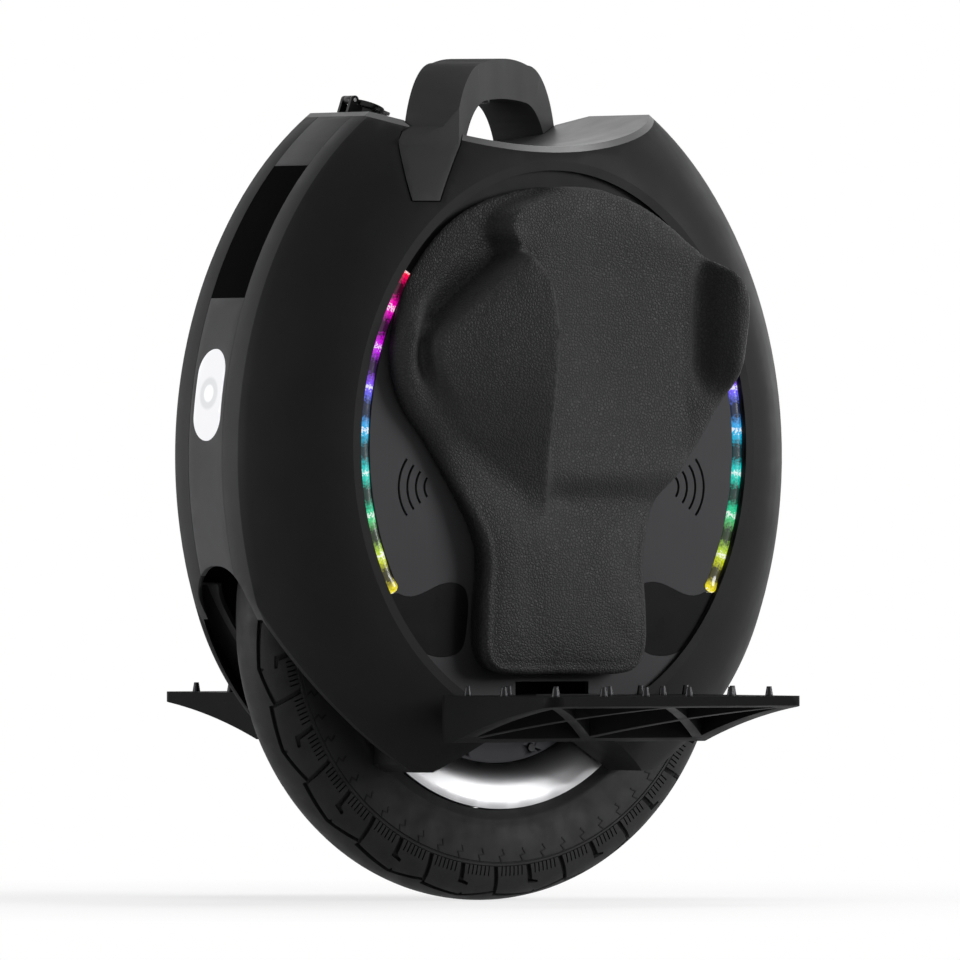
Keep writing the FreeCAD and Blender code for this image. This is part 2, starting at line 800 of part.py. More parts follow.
def tyre():
    """Road tyre, hollow, with two grooves round the tread and lug gaps on both shoulders."""
    outer, inner = tyre_profile()
    profile = outer + [(radius, -side) for radius, side in reversed(outer)]
    profile += [(radius, -side) for radius, side in reversed(inner[1:])] + inner
    gaps = []
    start = tyre_half_width / 2 + tread_groove_width + tread_depth / 2
    floor = axle_height + tyre_radius - tread_depth - 2 * tread_groove_width
    for index in range(tread_lug_count):
        low = V(-tread_lug_gap / 2, start, floor)
        gap = box(low, low + V(tread_lug_gap, tyre_half_width, overrun))
        gap.rotate(AXLE, Y_AXIS, index * 360 / tread_lug_count)
        gaps += [gap, mirrored(gap)]
    return turned(profile).cut(gaps)


def rim():
    """Alloy rim: bright band outside, dropped well under the tyre, round bore for the magnets."""
    half = [(rim_bore_radius, rim_bore_half_width), (rim_band_radius, rim_half_width - rim_band_setback),
            (rim_flange_radius, rim_half_width), (rim_flange_radius, rim_half_width - rim_flange_width),
            (rim_seat_radius, rim_half_width - rim_flange_width), (rim_well_radius, rim_well_half_width)]
    body = turned(half + [(radius, -side) for radius, side in reversed(half)])
    return body.cut(valve_rod(snug_gap))


def valve_rod(gap):
    """Valve stem, pointing in through the rim's bright band at the top of the wheel."""
    stem = Part.makeCylinder(valve_radius + gap, valve_length + gap, V(0, 0, 0), Y_AXIS)
    rise = (rim_well_radius + rim_band_radius) / 2
    stem.translate(V(0, rim_half_width - valve_setback, axle_height + rise))
    return stem


def magnet_ring():
    return ring_y(magnet_radius, magnet_radius - magnet_thickness, -magnet_half_width, magnet_half_width)


def stator():
    """Wound core on the axle, with slots between its teeth."""
    core = ring_y(stator_radius, axle_radius + running_gap, -stator_half_width, stator_half_width)
    slots = []
    floor = axle_height + stator_radius - stator_slot_depth
    for index in range(stator_slot_count):
        low = V(-stator_slot_width / 2, -stator_half_width - overrun, floor)
        slot = box(low, low + V(stator_slot_width, 2 * (stator_half_width + overrun), 2 * stator_slot_depth))
        slot.rotate(AXLE, Y_AXIS, index * 360 / stator_slot_count)
        slots.append(slot)
    return core.cut(slots)


def left_motor_cover():
    """Dished disc that closes the motor and carries a bearing in its boss."""
    start = motor_cover_start
    end = start + motor_cover_thickness
    edge = rim_bore_radius - snug_gap
    boss = bearing_radius + bearing_boss_wall
    seat = bearing_radius + running_gap
    cover = turned([
        (seat, start), (boss + bearing_boss_wall, start), (edge, start), (edge, end),
        (stator_hub_radius + bearing_boss_wall, end + motor_cover_dish),
        (boss, end + motor_cover_dish), (boss, start + bearing_width), (seat, start + bearing_width)])
    return cover.cut(cover_screws(snug_gap))


def cover_screws(gap):
    """Screws round the edge of the left motor cover."""
    screws = []
    reach = rim_bore_radius - cover_screw_edge
    for index in range(cover_screw_count):
        screw = Part.makeCylinder(cover_screw_radius + gap, motor_cover_thickness + cover_screw_head,
                                  V(0, motor_cover_start, reach), Y_AXIS)
        screw.rotate(ORIGIN, Y_AXIS, (index + 0.5) * 360 / cover_screw_count)
        screw.translate(AXLE)
        screws.append(screw)
    return screws


def left_bearing():
    end = motor_cover_start + bearing_width
    race = turned([
        (axle_radius + running_gap, motor_cover_start), (bearing_radius, motor_cover_start),
        (bearing_radius, end), (axle_radius + running_gap, end)])
    return race


def axle():
    """Shaft with flats where the hangers clamp it."""
    shaft = rod_y(axle_radius, -axle_half_length, axle_half_length)
    cuts = []
    for side in (1, -1):
        for edge in (1, -1):
            first = V(edge * axle_flat_half_width, side * hanger_start, axle_height - overrun)
            last = V(edge * overrun, side * (axle_half_length + overrun), axle_height + overrun)
            low = V(min(first.x, last.x), min(first.y, last.y), first.z)
            high = V(max(first.x, last.x), max(first.y, last.y), last.z)
            cuts.append(box(low, high))
    return shaft.cut(cuts)


def left_axle_nut():
    """Hexagon nut that holds the hanger on the axle."""
    corners = []
    for index in range(6):
        turn = math.radians(60 * index)
        across = axle_nut_radius * math.cos(turn)
        corners.append(V(across, hanger_end, axle_height + axle_nut_radius * math.sin(turn)))
    nut = Part.Face(polygon_wire(corners)).extrude(V(0, axle_nut_height, 0))
    return nut.cut(rod_y(axle_radius + running_gap, hanger_end - overrun, hanger_end + overrun))


# Pedals and what carries them

def hanger_bolts(gap):
    """Bolts from the left hanger's head into the frame wall."""
    bolts = []
    for reach in (-hanger_bolt_reach, hanger_bolt_reach):
        shank = rod_y(hanger_bolt_radius + gap, well_half_width, hanger_end, reach, hanger_bolt_height)
        head = rod_y(2 * hanger_bolt_radius + gap, hanger_end, hanger_end + hanger_bolt_length, reach,
                     hanger_bolt_height)
        bolts.append(shank.fuse(head))
    return bolts


def pin_rod(radius, half_length):
    """A rod on the left pedal's hinge line."""
    return Part.makeCylinder(radius, 2 * half_length, V(-half_length, pin_reach, pin_height), X_AXIS)


def left_pedal_hanger():
    """Upright plate on the axle with an arm that ends in the hinge knuckle."""
    plate = box(V(-hanger_plate_half_length, hanger_start, hanger_arm_floor),
                V(hanger_plate_half_length, hanger_end, hanger_head_height))
    arm = box(V(-hanger_half_length, hanger_start, hanger_arm_floor),
              V(hanger_half_length, pin_reach, hanger_arm_top))
    knuckle = pin_rod(hanger_knuckle_radius, hanger_half_length)
    bracket = plate.fuse([arm, knuckle])
    axle_hole = rod_y(axle_radius + running_gap, -overrun, hanger_end + overrun).common(
        box(V(-axle_flat_half_width - running_gap, 0, 0), V(axle_flat_half_width + running_gap, overrun,
                                                            2 * axle_height)))
    return bracket.cut([axle_hole, pin_rod(pin_radius, pin_half_length)] + hanger_bolts(snug_gap))


def rounded_plan(low, high, radius, floor, top):
    """An upright block with four round corners."""
    block = box(V(low.x, low.y, floor), V(high.x, high.y, top))
    return block.makeFillet(radius, [edge for edge in block.Edges if abs(edge.tangentAt(0).z) > 0.5])


def pedal_pockets():
    """Hollows under the left pedal between its border and its crossing ribs."""
    reach = pedal_half_length - pedal_border
    end = pedal_outer_edge - pedal_border
    top = pedal_top_height - pedal_plate
    low = V(-reach, pedal_pocket_start, 0)
    block = rounded_plan(low, V(reach, end, 0), pedal_rib, pedal_root_height - overrun, top)
    ribs = []
    for first, last in (((-reach, pedal_pocket_start), (0, end)), ((0, end), (reach, pedal_pocket_start)),
                        ((-reach, end), (0, pedal_pocket_start)), ((0, pedal_pocket_start), (reach, end))):
        run = V(last[0] - first[0], last[1] - first[1], 0)
        rib = Part.makeBox(run.Length, pedal_rib, 2 * overrun, V(0, -pedal_rib / 2, top - 2 * overrun))
        rib.rotate(ORIGIN, Z_AXIS, math.degrees(math.atan2(run.y, run.x)))
        rib.translate(V(first[0], first[1], 0))
        ribs.append(rib)
    return block.cut(ribs)


def left_pedal():
    """Wedge-shaped plate, deep at the hinge and thin at the tip, hollow below."""
    start = -pedal_half_length
    tip = pedal_top_height - pedal_tip_thickness
    middle = V(start, (pedal_root_reach + pedal_outer_edge) / 2, (pedal_root_height + tip) / 2 + pedal_belly)
    edges = [
        line(V(start, pedal_inner_edge, pedal_top_height), V(start, pedal_outer_edge, pedal_top_height)),
        line(V(start, pedal_outer_edge, pedal_top_height), V(start, pedal_outer_edge, tip)),
        arc(V(start, pedal_outer_edge, tip), middle, V(start, pedal_root_reach, pedal_root_height)),
        line(V(start, pedal_root_reach, pedal_root_height), V(start, pedal_inner_edge, pedal_root_height)),
        line(V(start, pedal_inner_edge, pedal_root_height), V(start, pedal_inner_edge, pedal_top_height)),
    ]
    wedge = Part.Face(Part.Wire(edges)).extrude(V(2 * pedal_half_length, 0, 0))
    plan = rounded_plan(V(start, pedal_inner_edge, 0), V(pedal_half_length, pedal_outer_edge, 0),
                        pedal_corner_radius, pedal_root_height - overrun, pedal_top_height + overrun)
    half = hanger_half_length + pedal_notch_gap
    notch = box(V(-half, pedal_inner_edge - overrun, pedal_root_height - overrun),
                V(half, pin_reach + hanger_knuckle_radius + pedal_notch_gap, pedal_top_height + overrun))
    pin_bore = pin_rod(pin_radius + running_gap, pin_half_length + seat_gap)
    return wedge.common(plan).cut([pedal_pockets(), notch, pin_bore])


def left_pedal_studs():
    studs = []
    for along_share, out_share in stud_row_shares:
        foot = V(along_share * pedal_half_length,
                 pedal_inner_edge + out_share * (pedal_outer_edge - pedal_inner_edge), pedal_top_height)
        studs.append(Part.makeCone(stud_base_radius, stud_tip_radius, stud_height, foot))
    return Part.makeCompound(studs)


# Leg pads

def pad_section(shares):
    """One level of the left pad: flat back, front wing, hollow for the shin, rear lip."""
    level, front, rear, crest, crest_out, hollow, hollow_out, lip, lip_out, lift = shares
    height = pad_foot_height + level * pad_height
    back = panel_face + light_stand + seat_gap

    def point(reach, depth):
        return V(reach, back + depth, height)

    def between(high_point, low_point, share, swell):
        reach = (high_point.x + low_point.x) / 2
        return V(reach, low_point.y + share * (high_point.y - low_point.y) + swell, height)

    front_back = point(front * pad_half_length, 0)
    front_edge = point(front * pad_half_length, pad_edge_depth)
    wing = point(crest * pad_half_length, crest_out * pad_depth)
    shin = point(hollow * pad_half_length, hollow_out * pad_depth)
    rear_lip = point(lip * pad_half_length, lip_out * pad_depth)
    rear_back = point(rear * pad_half_length, 0)
    rear_edge = point(rear * pad_half_length, lift * pad_depth + pad_edge_depth)
    front_swell = pad_swell_share * (front_edge.x - wing.x)
    rear_swell = pad_swell_share * (rear_lip.x - rear_edge.x)
    edges = [
        line(front_back, front_edge),
        arc(front_edge, between(wing, front_edge, 0.5, front_swell), wing),
        arc(wing, between(wing, shin, pad_hollow_share, pad_crown), shin),
        arc(shin, between(rear_lip, shin, pad_hollow_share, pad_crown), rear_lip),
        arc(rear_lip, between(rear_lip, rear_edge, 0.5, rear_swell), rear_edge),
        line(rear_edge, rear_back), line(rear_back, front_back),
    ]
    return Part.Wire(edges)


def left_leg_pad():
    """The sections joined into one smooth cushion, whose rear lip stands off the panel."""
    cushion = Part.makeLoft([pad_section(shares) for shares in pad_level_shares], True)
    back = panel_face + light_stand + seat_gap
    floor = pad_foot_height - overrun
    far = -pad_half_length - overrun
    slope = pad_lift_depth / (pad_half_length - pad_lift_reach)
    wedge = Part.Face(polygon_wire([
        V(-pad_lift_reach, back, floor), V(far, back + slope * (-far - pad_lift_reach), floor),
        V(far, back - overrun, floor), V(-pad_lift_reach, back - overrun, floor)]))
    return cushion.cut(wedge.extrude(V(0, 0, pad_height + 2 * overrun)))


# Batteries, electronics and sound

def left_front_battery():
    """Shrink-wrapped pack, bent round the motor, on the outside of the frame wall."""
    corners = []
    for radius, angle in ((pack_inner_radius, pack_end_angle), (pack_outer_radius, pack_end_angle),
                          (pack_outer_radius, pack_top_angle), (pack_inner_radius, pack_top_angle)):
        for step in (angle, (pack_end_angle + pack_top_angle) / 2):
            turn = math.radians(step)
            corners.append(V(radius * math.cos(turn), hanger_start, axle_height + radius * math.sin(turn)))
    edges = [line(corners[0], corners[2]), arc(corners[2], corners[3], corners[4]),
             line(corners[4], corners[6]), arc(corners[6], corners[1], corners[0])]
    return Part.Face(Part.Wire(edges)).extrude(V(0, pack_depth, 0))


def left_speaker():
    """Round speaker with a shallow cone, behind the sound slots."""
    reach = slot_reach + slot_first_radius + slot_count * slot_pitch / 2
    front = panel_back - seat_gap
    body = rod_y(speaker_radius, front - speaker_depth, front, reach, slot_height)
    cone = Part.makeCone(speaker_cone_radius, speaker_cone_radius / 2, speaker_cone_depth,
                         V(reach, front, slot_height), -Y_AXIS)
    return body.cut(cone)


def heat_sink():
    base = box(V(-sink_half_length, -sink_half_width, sink_floor),
               V(sink_half_length, sink_half_width, sink_floor + sink_base))
    fins = []
    pitch = (2 * sink_half_width - sink_fin_width) / (sink_fin_count - 1)
    for index in range(sink_fin_count):
        low = V(-sink_half_length, -sink_half_width + index * pitch, sink_floor + sink_base)
        fins.append(box(low, low + V(2 * sink_half_length, sink_fin_width, sink_fin_height)))
    return base.fuse(fins)


def control_board():
    """Circuit board on the fins, with capacitors and the motor plug's socket."""
    board = box(V(-board_half_length, -board_half_width, board_floor),
                V(board_half_length, board_half_width, board_floor + board_thickness))
    top = board_floor + board_thickness
    pieces = [Part.makeCylinder(board_part_radius, board_part_height, V(reach, 0, top))
              for reach in (-board_part_reach, board_part_reach)]
    pieces.append(box(V(-plug_half_length, board_half_width - plug_depth, top),
                      V(plug_half_length, board_half_width, top + plug_height)))
    return board.fuse(pieces)


def motor_cable():
    """Cable from the end of the axle up to the control board."""
    top = board_floor + board_thickness + plug_height - cable_drop
    end = board_half_width + seat_gap
    bend = cable_bend
    lean = bend * (1 - math.sqrt(0.5))
    edges = [
        line(V(0, axle_half_length, axle_height), V(0, cable_run - bend, axle_height)),
        arc(V(0, cable_run - bend, axle_height), V(0, cable_run - lean, axle_height + lean),
            V(0, cable_run, axle_height + bend)),
        line(V(0, cable_run, axle_height + bend), V(0, cable_run, top - bend)),
        arc(V(0, cable_run, top - bend), V(0, cable_run - lean, top - lean), V(0, cable_run - bend, top)),
        line(V(0, cable_run - bend, top), V(0, end, top)),
    ]
    section = Part.Wire([Part.Circle(V(0, axle_half_length, axle_height), Y_AXIS, cable_radius).toShape()])
    return Part.Wire(edges).makePipeShell([section], True, False)


# Charge socket, dust cap and power button, drawn upright and then stood on the saddle

cap_floor = socket_height + cap_swing_gap
cap_pin_height = cap_floor + cap_height / 2


def cap_rod(radius, half_width):
    return Part.makeCylinder(radius, 2 * half_width, V(cap_pin_offset, -half_width, cap_pin_height), Y_AXIS)


def charge_socket():
    """Barrel with a flange and two ears for the cap's hinge."""
    flange = Part.makeCylinder(socket_flange_radius, socket_flange_height, V(0, 0, saddle_seat_gap))
    ear_floor = saddle_seat_gap + socket_flange_height / 2
    barrel = Part.makeCylinder(socket_radius, socket_tail + socket_height, V(0, 0, -socket_tail))
    body = flange.fuse(barrel)
    for side in (-1, 1):
        first = side * (cap_knuckle_half_width + cap_swing_gap)
        last = first + side * cap_ear_width
        low = V(cap_pin_offset - cap_knuckle_radius / 2, min(first, last), ear_floor)
        ear = box(low, V(cap_pin_offset + cap_knuckle_radius, max(first, last), cap_pin_height))
        web = box(V(0, low.y, ear_floor), V(cap_pin_offset, max(first, last), socket_height - cap_swing_gap))
        eye = Part.makeCylinder(cap_knuckle_radius, cap_ear_width,
                                V(cap_pin_offset, min(first, last), cap_pin_height), Y_AXIS)
        body = body.fuse([ear, eye, web])
    bore = Part.makeCylinder(socket_bore_radius, socket_bore_depth + overrun,
                             V(0, 0, socket_height - socket_bore_depth))
    return on_saddle(body.cut([bore, cap_rod(cap_pin_radius, overrun)]), socket_reach)


def charge_cap():
    """Round lid with a finger lip and a hinge knuckle."""
    lid = Part.makeCylinder(cap_radius, cap_height, V(0, 0, cap_floor))
    lip = box(V(-cap_radius - cap_lip_reach, -cap_lip_half_width, cap_floor + cap_height - cap_lip_height),
              V(0, cap_lip_half_width, cap_floor + cap_height))
    strap = box(V(0, -cap_knuckle_half_width, cap_floor), V(cap_pin_offset, cap_knuckle_half_width,
                                                            cap_floor + cap_height))
    cap = lid.fuse([lip, strap, cap_rod(cap_knuckle_radius, cap_knuckle_half_width)])
    return on_saddle(cap.cut(cap_rod(cap_pin_radius + running_gap, overrun)), socket_reach)


def charge_cap_pin():
    half_width = cap_knuckle_half_width + cap_swing_gap + cap_ear_width
    return on_saddle(cap_rod(cap_pin_radius, half_width), socket_reach)


def power_bezel():
    ring = Part.makeCylinder(power_bezel_radius, power_bezel_height, V(0, 0, saddle_seat_gap))
    neck = Part.makeCylinder(power_bezel_neck, power_bezel_depth,
                             V(0, 0, saddle_seat_gap - power_bezel_depth))
    floor = power_button_floor() - power_button_travel - button_gap
    bore = Part.makeCylinder(power_button_radius + button_gap, overrun, V(0, 0, floor))
    return on_saddle(ring.fuse(neck).cut(bore), power_reach)


def power_button_floor():
    return saddle_seat_gap + power_bezel_height + power_button_stand - power_button_height


def power_button():
    button = Part.makeCylinder(power_button_radius, power_button_height, V(0, 0, power_button_floor()))
    return on_saddle(button, power_reach)


# All pieces, one file each

def both_sides(shapes):
    """A group of loose fasteners on both sides of the object."""
    return Part.makeCompound(shapes + [mirrored(shape) for shape in shapes])


def pieces():
    shell = left_shell()
    panel = left_side_panel()
    front_lights, rear_lights = fore_and_aft(light_strip(0, light_stand))
    inserts = Part.makeCompound(fore_and_aft(panel_insert(0, 0)))
    pad = left_leg_pad()
    battery = left_front_battery()
    rear_battery = battery.mirror(ORIGIN, X_AXIS)
    hanger = left_pedal_hanger()
    pin = pin_rod(pin_radius, pin_half_length)
    pedal = left_pedal()
    studs = left_pedal_studs()
    cover = left_motor_cover()
    bearing = left_bearing()
    speaker = left_speaker()
    return {
        "left_shell": shell, "right_shell": turned_about(shell), "top_cover": top_cover(),
        "front_upper_trim": front_upper_trim(), "front_window": front_window(), "front_strip": front_strip(),
        "headlight_lens": lamp_lens(lamp_half_width, lamp_half_height),
        "headlight_housing": lamp_housing(lamp_half_width, lamp_half_height),
        "rear_strip": rear_strip(),
        "tail_light_lens": turned_about(lamp_lens(tail_half_width, tail_half_height)),
        "tail_light_housing": turned_about(lamp_housing(tail_half_width, tail_half_height)),
        "left_side_panel": panel, "right_side_panel": mirrored(panel),
        "left_front_light_strip": front_lights, "left_rear_light_strip": rear_lights,
        "right_front_light_strip": mirrored(front_lights), "right_rear_light_strip": mirrored(rear_lights),
        "left_panel_inserts": inserts, "right_panel_inserts": mirrored(inserts),
        "panel_screws": both_sides(panel_screws(0)),
        "left_leg_pad": pad, "right_leg_pad": mirrored(pad),
        "carry_handle": carry_handle(), "lift_button": lift_button(),
        "power_bezel": power_bezel(), "power_button": power_button(),
        "charge_socket": charge_socket(), "charge_cap": charge_cap(), "charge_cap_pin": charge_cap_pin(),
        "inner_frame": inner_frame(),
        "axle": axle(), "axle_nuts": both_sides([left_axle_nut()]), "stator": stator(),
        "left_pedal_hanger": hanger, "right_pedal_hanger": mirrored(hanger),
        "hanger_bolts": both_sides(hanger_bolts(0)),
        "left_pedal_pin": pin, "right_pedal_pin": mirrored(pin),
        "left_pedal": pedal, "right_pedal": mirrored(pedal),
        "left_pedal_studs": studs, "right_pedal_studs": mirrored(studs),
        "tyre": tyre(), "rim": rim(), "valve_stem": valve_rod(0), "magnet_ring": magnet_ring(),
        "left_motor_cover": cover, "right_motor_cover": mirrored(cover),
        "left_bearing": bearing, "right_bearing": mirrored(bearing),
        "motor_cover_screws": both_sides(cover_screws(0)),
        "left_front_battery": battery, "left_rear_battery": rear_battery,
        "right_front_battery": mirrored(battery), "right_rear_battery": mirrored(rear_battery),
        "left_speaker": speaker, "right_speaker": mirrored(speaker),
        "heat_sink": heat_sink(), "control_board": control_board(), "motor_cable": motor_cable(),
    }


os.makedirs("parts", exist_ok=True)
for name, shape in pieces().items():
    shape.exportStep("parts/" + name + ".step")
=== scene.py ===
import json
import math

import bmesh
import bpy
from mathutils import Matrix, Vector, kdtree, noise

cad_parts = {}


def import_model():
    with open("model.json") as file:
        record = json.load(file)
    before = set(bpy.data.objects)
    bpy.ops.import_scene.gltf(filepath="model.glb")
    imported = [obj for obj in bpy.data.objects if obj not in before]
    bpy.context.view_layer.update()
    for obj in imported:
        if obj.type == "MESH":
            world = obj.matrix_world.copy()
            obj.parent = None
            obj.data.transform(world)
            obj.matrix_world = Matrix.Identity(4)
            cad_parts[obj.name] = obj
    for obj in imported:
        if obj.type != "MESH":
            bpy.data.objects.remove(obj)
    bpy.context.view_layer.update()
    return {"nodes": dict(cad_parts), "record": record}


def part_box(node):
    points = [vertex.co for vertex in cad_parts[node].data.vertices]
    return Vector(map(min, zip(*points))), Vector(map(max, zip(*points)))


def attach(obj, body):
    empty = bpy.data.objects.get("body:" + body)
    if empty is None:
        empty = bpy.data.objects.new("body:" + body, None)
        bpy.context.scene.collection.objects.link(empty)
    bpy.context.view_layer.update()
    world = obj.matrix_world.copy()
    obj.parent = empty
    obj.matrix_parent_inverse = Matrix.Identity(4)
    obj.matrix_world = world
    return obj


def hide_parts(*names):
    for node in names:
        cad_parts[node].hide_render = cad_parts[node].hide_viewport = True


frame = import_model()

NODES = frame["nodes"]
MM = 0.001

# Material helpers


class Paint:
    """A procedural material under construction: one Principled shader and the nodes that feed it."""

    def __init__(self, name, colour, roughness, metal=0.0, specular=0.12):
        self.material = bpy.data.materials.new(name)
        self.material.use_nodes = True
        self.tree = self.material.node_tree
        self.shader = self.tree.nodes["Principled BSDF"]
        self.colour = (*colour, 1.0)
        self.shader.inputs["Base Color"].default_value = self.colour
        self.shader.inputs["Roughness"].default_value = roughness
        self.shader.inputs["Metallic"].default_value = metal
        self.shader.inputs["Specular IOR Level"].default_value = specular
        self.place = self.node("ShaderNodeTexCoord").outputs["Object"]

    def node(self, kind, **values):
        """A new node, with its properties or inputs set by name."""
        made = self.tree.nodes.new(kind)
        for key, value in values.items():
            if hasattr(made, key):
                setattr(made, key, value)
            else:
                made.inputs[key.replace("_", " ")].default_value = value
        return made

    def link(self, start, end):
        self.tree.links.new(start, end)

    def noise(self, size, detail=3.0, place=None):
        """Noise whose grains are about size across, from 0 to 1."""
        made = self.node("ShaderNodeTexNoise", Scale=1 / size, Detail=detail)
        self.link(place or self.place, made.inputs["Vector"])
        return made.outputs["Fac"]

    def cells(self, size, feature="DISTANCE_TO_EDGE"):
        """Voronoi cells about size across: the distance to each cell's edge."""
        made = self.node("ShaderNodeTexVoronoi", feature=feature, Scale=1 / size)
        self.link(self.place, made.inputs["Vector"])
        return made.outputs["Distance"]

    def stretch(self, scale):
        """The object's coordinates, scaled on each axis."""
        made = self.node("ShaderNodeMapping", Scale=scale)
        self.link(self.place, made.inputs["Vector"])
        return made.outputs["Vector"]

    def spread(self, value, low, high, start=0.3, end=0.7):
        """Value from start to end spread over low to high."""
        made = self.node("ShaderNodeMapRange")
        made.inputs["From Min"].default_value = start
        made.inputs["From Max"].default_value = end
        made.inputs["To Min"].default_value = low
        made.inputs["To Max"].default_value = high
        self.link(value, made.inputs["Value"])
        return made.outputs["Result"]

    def ramp(self, value, stops):
        """A colour ramp of (place, colour) stops along value."""
        made = self.node("ShaderNodeValToRGB")
        elements = made.color_ramp.elements
        elements[0].position, elements[0].color = stops[0][0], (*stops[0][1], 1.0)
        elements[1].position, elements[1].color = stops[-1][0], (*stops[-1][1], 1.0)
        for place, colour in stops[1:-1]:
            elements.new(place).color = (*colour, 1.0)
        self.link(value, made.inputs["Fac"])
        return made.outputs["Color"]

    def mottle(self, size, share):
        """The colour wanders by share either way, in patches about size across."""
        dark = tuple(c * (1 - share) for c in self.colour[:3])
        light = tuple(c * (1 + share) for c in self.colour[:3])
        self.link(self.ramp(self.noise(size), [(0.3, dark), (0.7, light)]), self.shader.inputs["Base Color"])
        return self

    def rough(self, size, low, high):
        """Roughness wanders between low and high, in patches about size across."""
        self.link(self.spread(self.noise(size, 4.0), low, high), self.shader.inputs["Roughness"])
        return self

    def bump(self, height, depth, strength=1.0):
        """A bump of that height map and depth, over the bumps made before."""
        made = self.node("ShaderNodeBump", Distance=depth, Strength=strength)
        self.link(height, made.inputs["Height"])
        if self.shader.inputs["Normal"].links:
            self.link(self.shader.inputs["Normal"].links[0].from_socket, made.inputs["Normal"])
        self.link(made.outputs["Normal"], self.shader.inputs["Normal"])
        return self


def moulded(name, colour, roughness, specular=0.12, grain=0.6 * MM, depth=0.02 * MM):
    """Moulded plastic or paint: a fine even grain, faint patches and an uneven sheen."""
    paint = Paint(name, colour, roughness, specular=specular)
    paint.mottle(40 * MM, 0.08).rough(25 * MM, roughness - 0.05, roughness + 0.05)
    return paint.bump(paint.noise(grain, 2.0), depth).material


# The shell's rim band is painted lighter than the flank: painted light, standing in for light on the front
# and rear rim.
PAINTED_LIGHT_CENTRE = 285 * MM
PAINTED_LIGHT_FOOT = 150 * MM


def painted_light_band(name, colour, painted_light_colour, roughness, half_width):
    """Moulded shell whose flat rim, half_width to each side of the middle, is painted a lighter tone
    outside: painted light for the light that falls on the front and rear rim.
    """
    paint = Paint(name, colour, roughness, specular=0.04)
    paint.mottle(40 * MM, 0.08).rough(25 * MM, roughness - 0.05, roughness + 0.05)
    dark = paint.shader.inputs["Base Color"].links[0].from_socket
    parts = paint.node("ShaderNodeSeparateXYZ")
    paint.link(paint.place, parts.inputs[0])
    side = paint.node("ShaderNodeMath", operation="ABSOLUTE")
    paint.link(parts.outputs["Y"], side.inputs[0])
    # The painted light covers the rim band's outer faces above its foot.
    inside = paint.spread(side.outputs[0], 1.0, 0.0, half_width - 0.2 * MM, half_width + 0.2 * MM)
    outward = paint.node("ShaderNodeVectorMath", operation="SUBTRACT")
    outward.inputs[1].default_value = (0, 0, PAINTED_LIGHT_CENTRE)
    paint.link(paint.place, outward.inputs[0])
    facing = paint.node("ShaderNodeVectorMath", operation="DOT_PRODUCT")
    paint.link(outward.outputs[0], facing.inputs[0])
    paint.link(paint.node("ShaderNodeNewGeometry").outputs["Normal"], facing.inputs[1])
    outer = paint.spread(facing.outputs["Value"], 0.0, 1.0, 0.03, 0.04)
    above = paint.spread(parts.outputs["Z"], 0.0, 1.0, PAINTED_LIGHT_FOOT, PAINTED_LIGHT_FOOT + 2 * MM)
    for mask in (outer, above):
        both = paint.node("ShaderNodeMath", operation="MULTIPLY")
        paint.link(inside, both.inputs[0])
        paint.link(mask, both.inputs[1])
        inside = both.outputs[0]
    shade = tuple(c * 0.94 for c in painted_light_colour)
    light = paint.ramp(paint.noise(40 * MM), [(0.3, shade), (0.7, painted_light_colour)])
    mix = paint.node("ShaderNodeMix", data_type="RGBA")
    paint.link(inside, mix.inputs["Factor"])
    paint.link(dark, mix.inputs[6])
    paint.link(light, mix.inputs[7])
    paint.link(mix.outputs[2], paint.shader.inputs["Base Color"])
    return paint.bump(paint.noise(0.6 * MM, 2.0), 0.02 * MM).material


def painted_shade_by_height(name, low_colour, high_colour, roughness, low, high):
    """Moulded plastic that goes from one tone at the height low to another at high, for painted shade that
    darkens a part towards its top.
    """
    paint = Paint(name, low_colour, roughness, specular=0.05)
    parts = paint.node("ShaderNodeSeparateXYZ")
    paint.link(paint.place, parts.inputs[0])
    wander = paint.node("ShaderNodeMath", operation="ADD")
    paint.link(paint.spread(parts.outputs["Z"], 0.0, 1.0, low, high), wander.inputs[0])
    paint.link(paint.spread(paint.noise(40 * MM), -0.04, 0.04), wander.inputs[1])
    paint.link(paint.ramp(wander.outputs[0], [(0.0, low_colour), (1.0, high_colour)]),
               paint.shader.inputs["Base Color"])
    paint.rough(25 * MM, roughness - 0.05, roughness + 0.05)
    return paint.bump(paint.noise(0.6 * MM, 2.0), 0.02 * MM).material


def gloss(name, colour, roughness=0.12, specular=0.4):
    """Smooth glossy plastic with a faint haze."""
    paint = Paint(name, colour, roughness, specular=specular)
    paint.mottle(60 * MM, 0.06).rough(18 * MM, roughness - 0.04, roughness + 0.06)
    return paint.bump(paint.noise(9 * MM, 1.0), 0.006 * MM).material


def metal(name, colour, roughness, grain=(1.0, 1.0, 1.0), size=0.8 * MM, depth=0.01 * MM):
    """Bare metal with fine marks, drawn out along an axis by grain."""
    paint = Paint(name, colour, roughness, metal=1.0, specular=0.5)
    paint.mottle(30 * MM, 0.06).rough(14 * MM, roughness - 0.06, roughness + 0.08)
    return paint.bump(paint.noise(size, 3.0, paint.stretch(grain)), depth).material


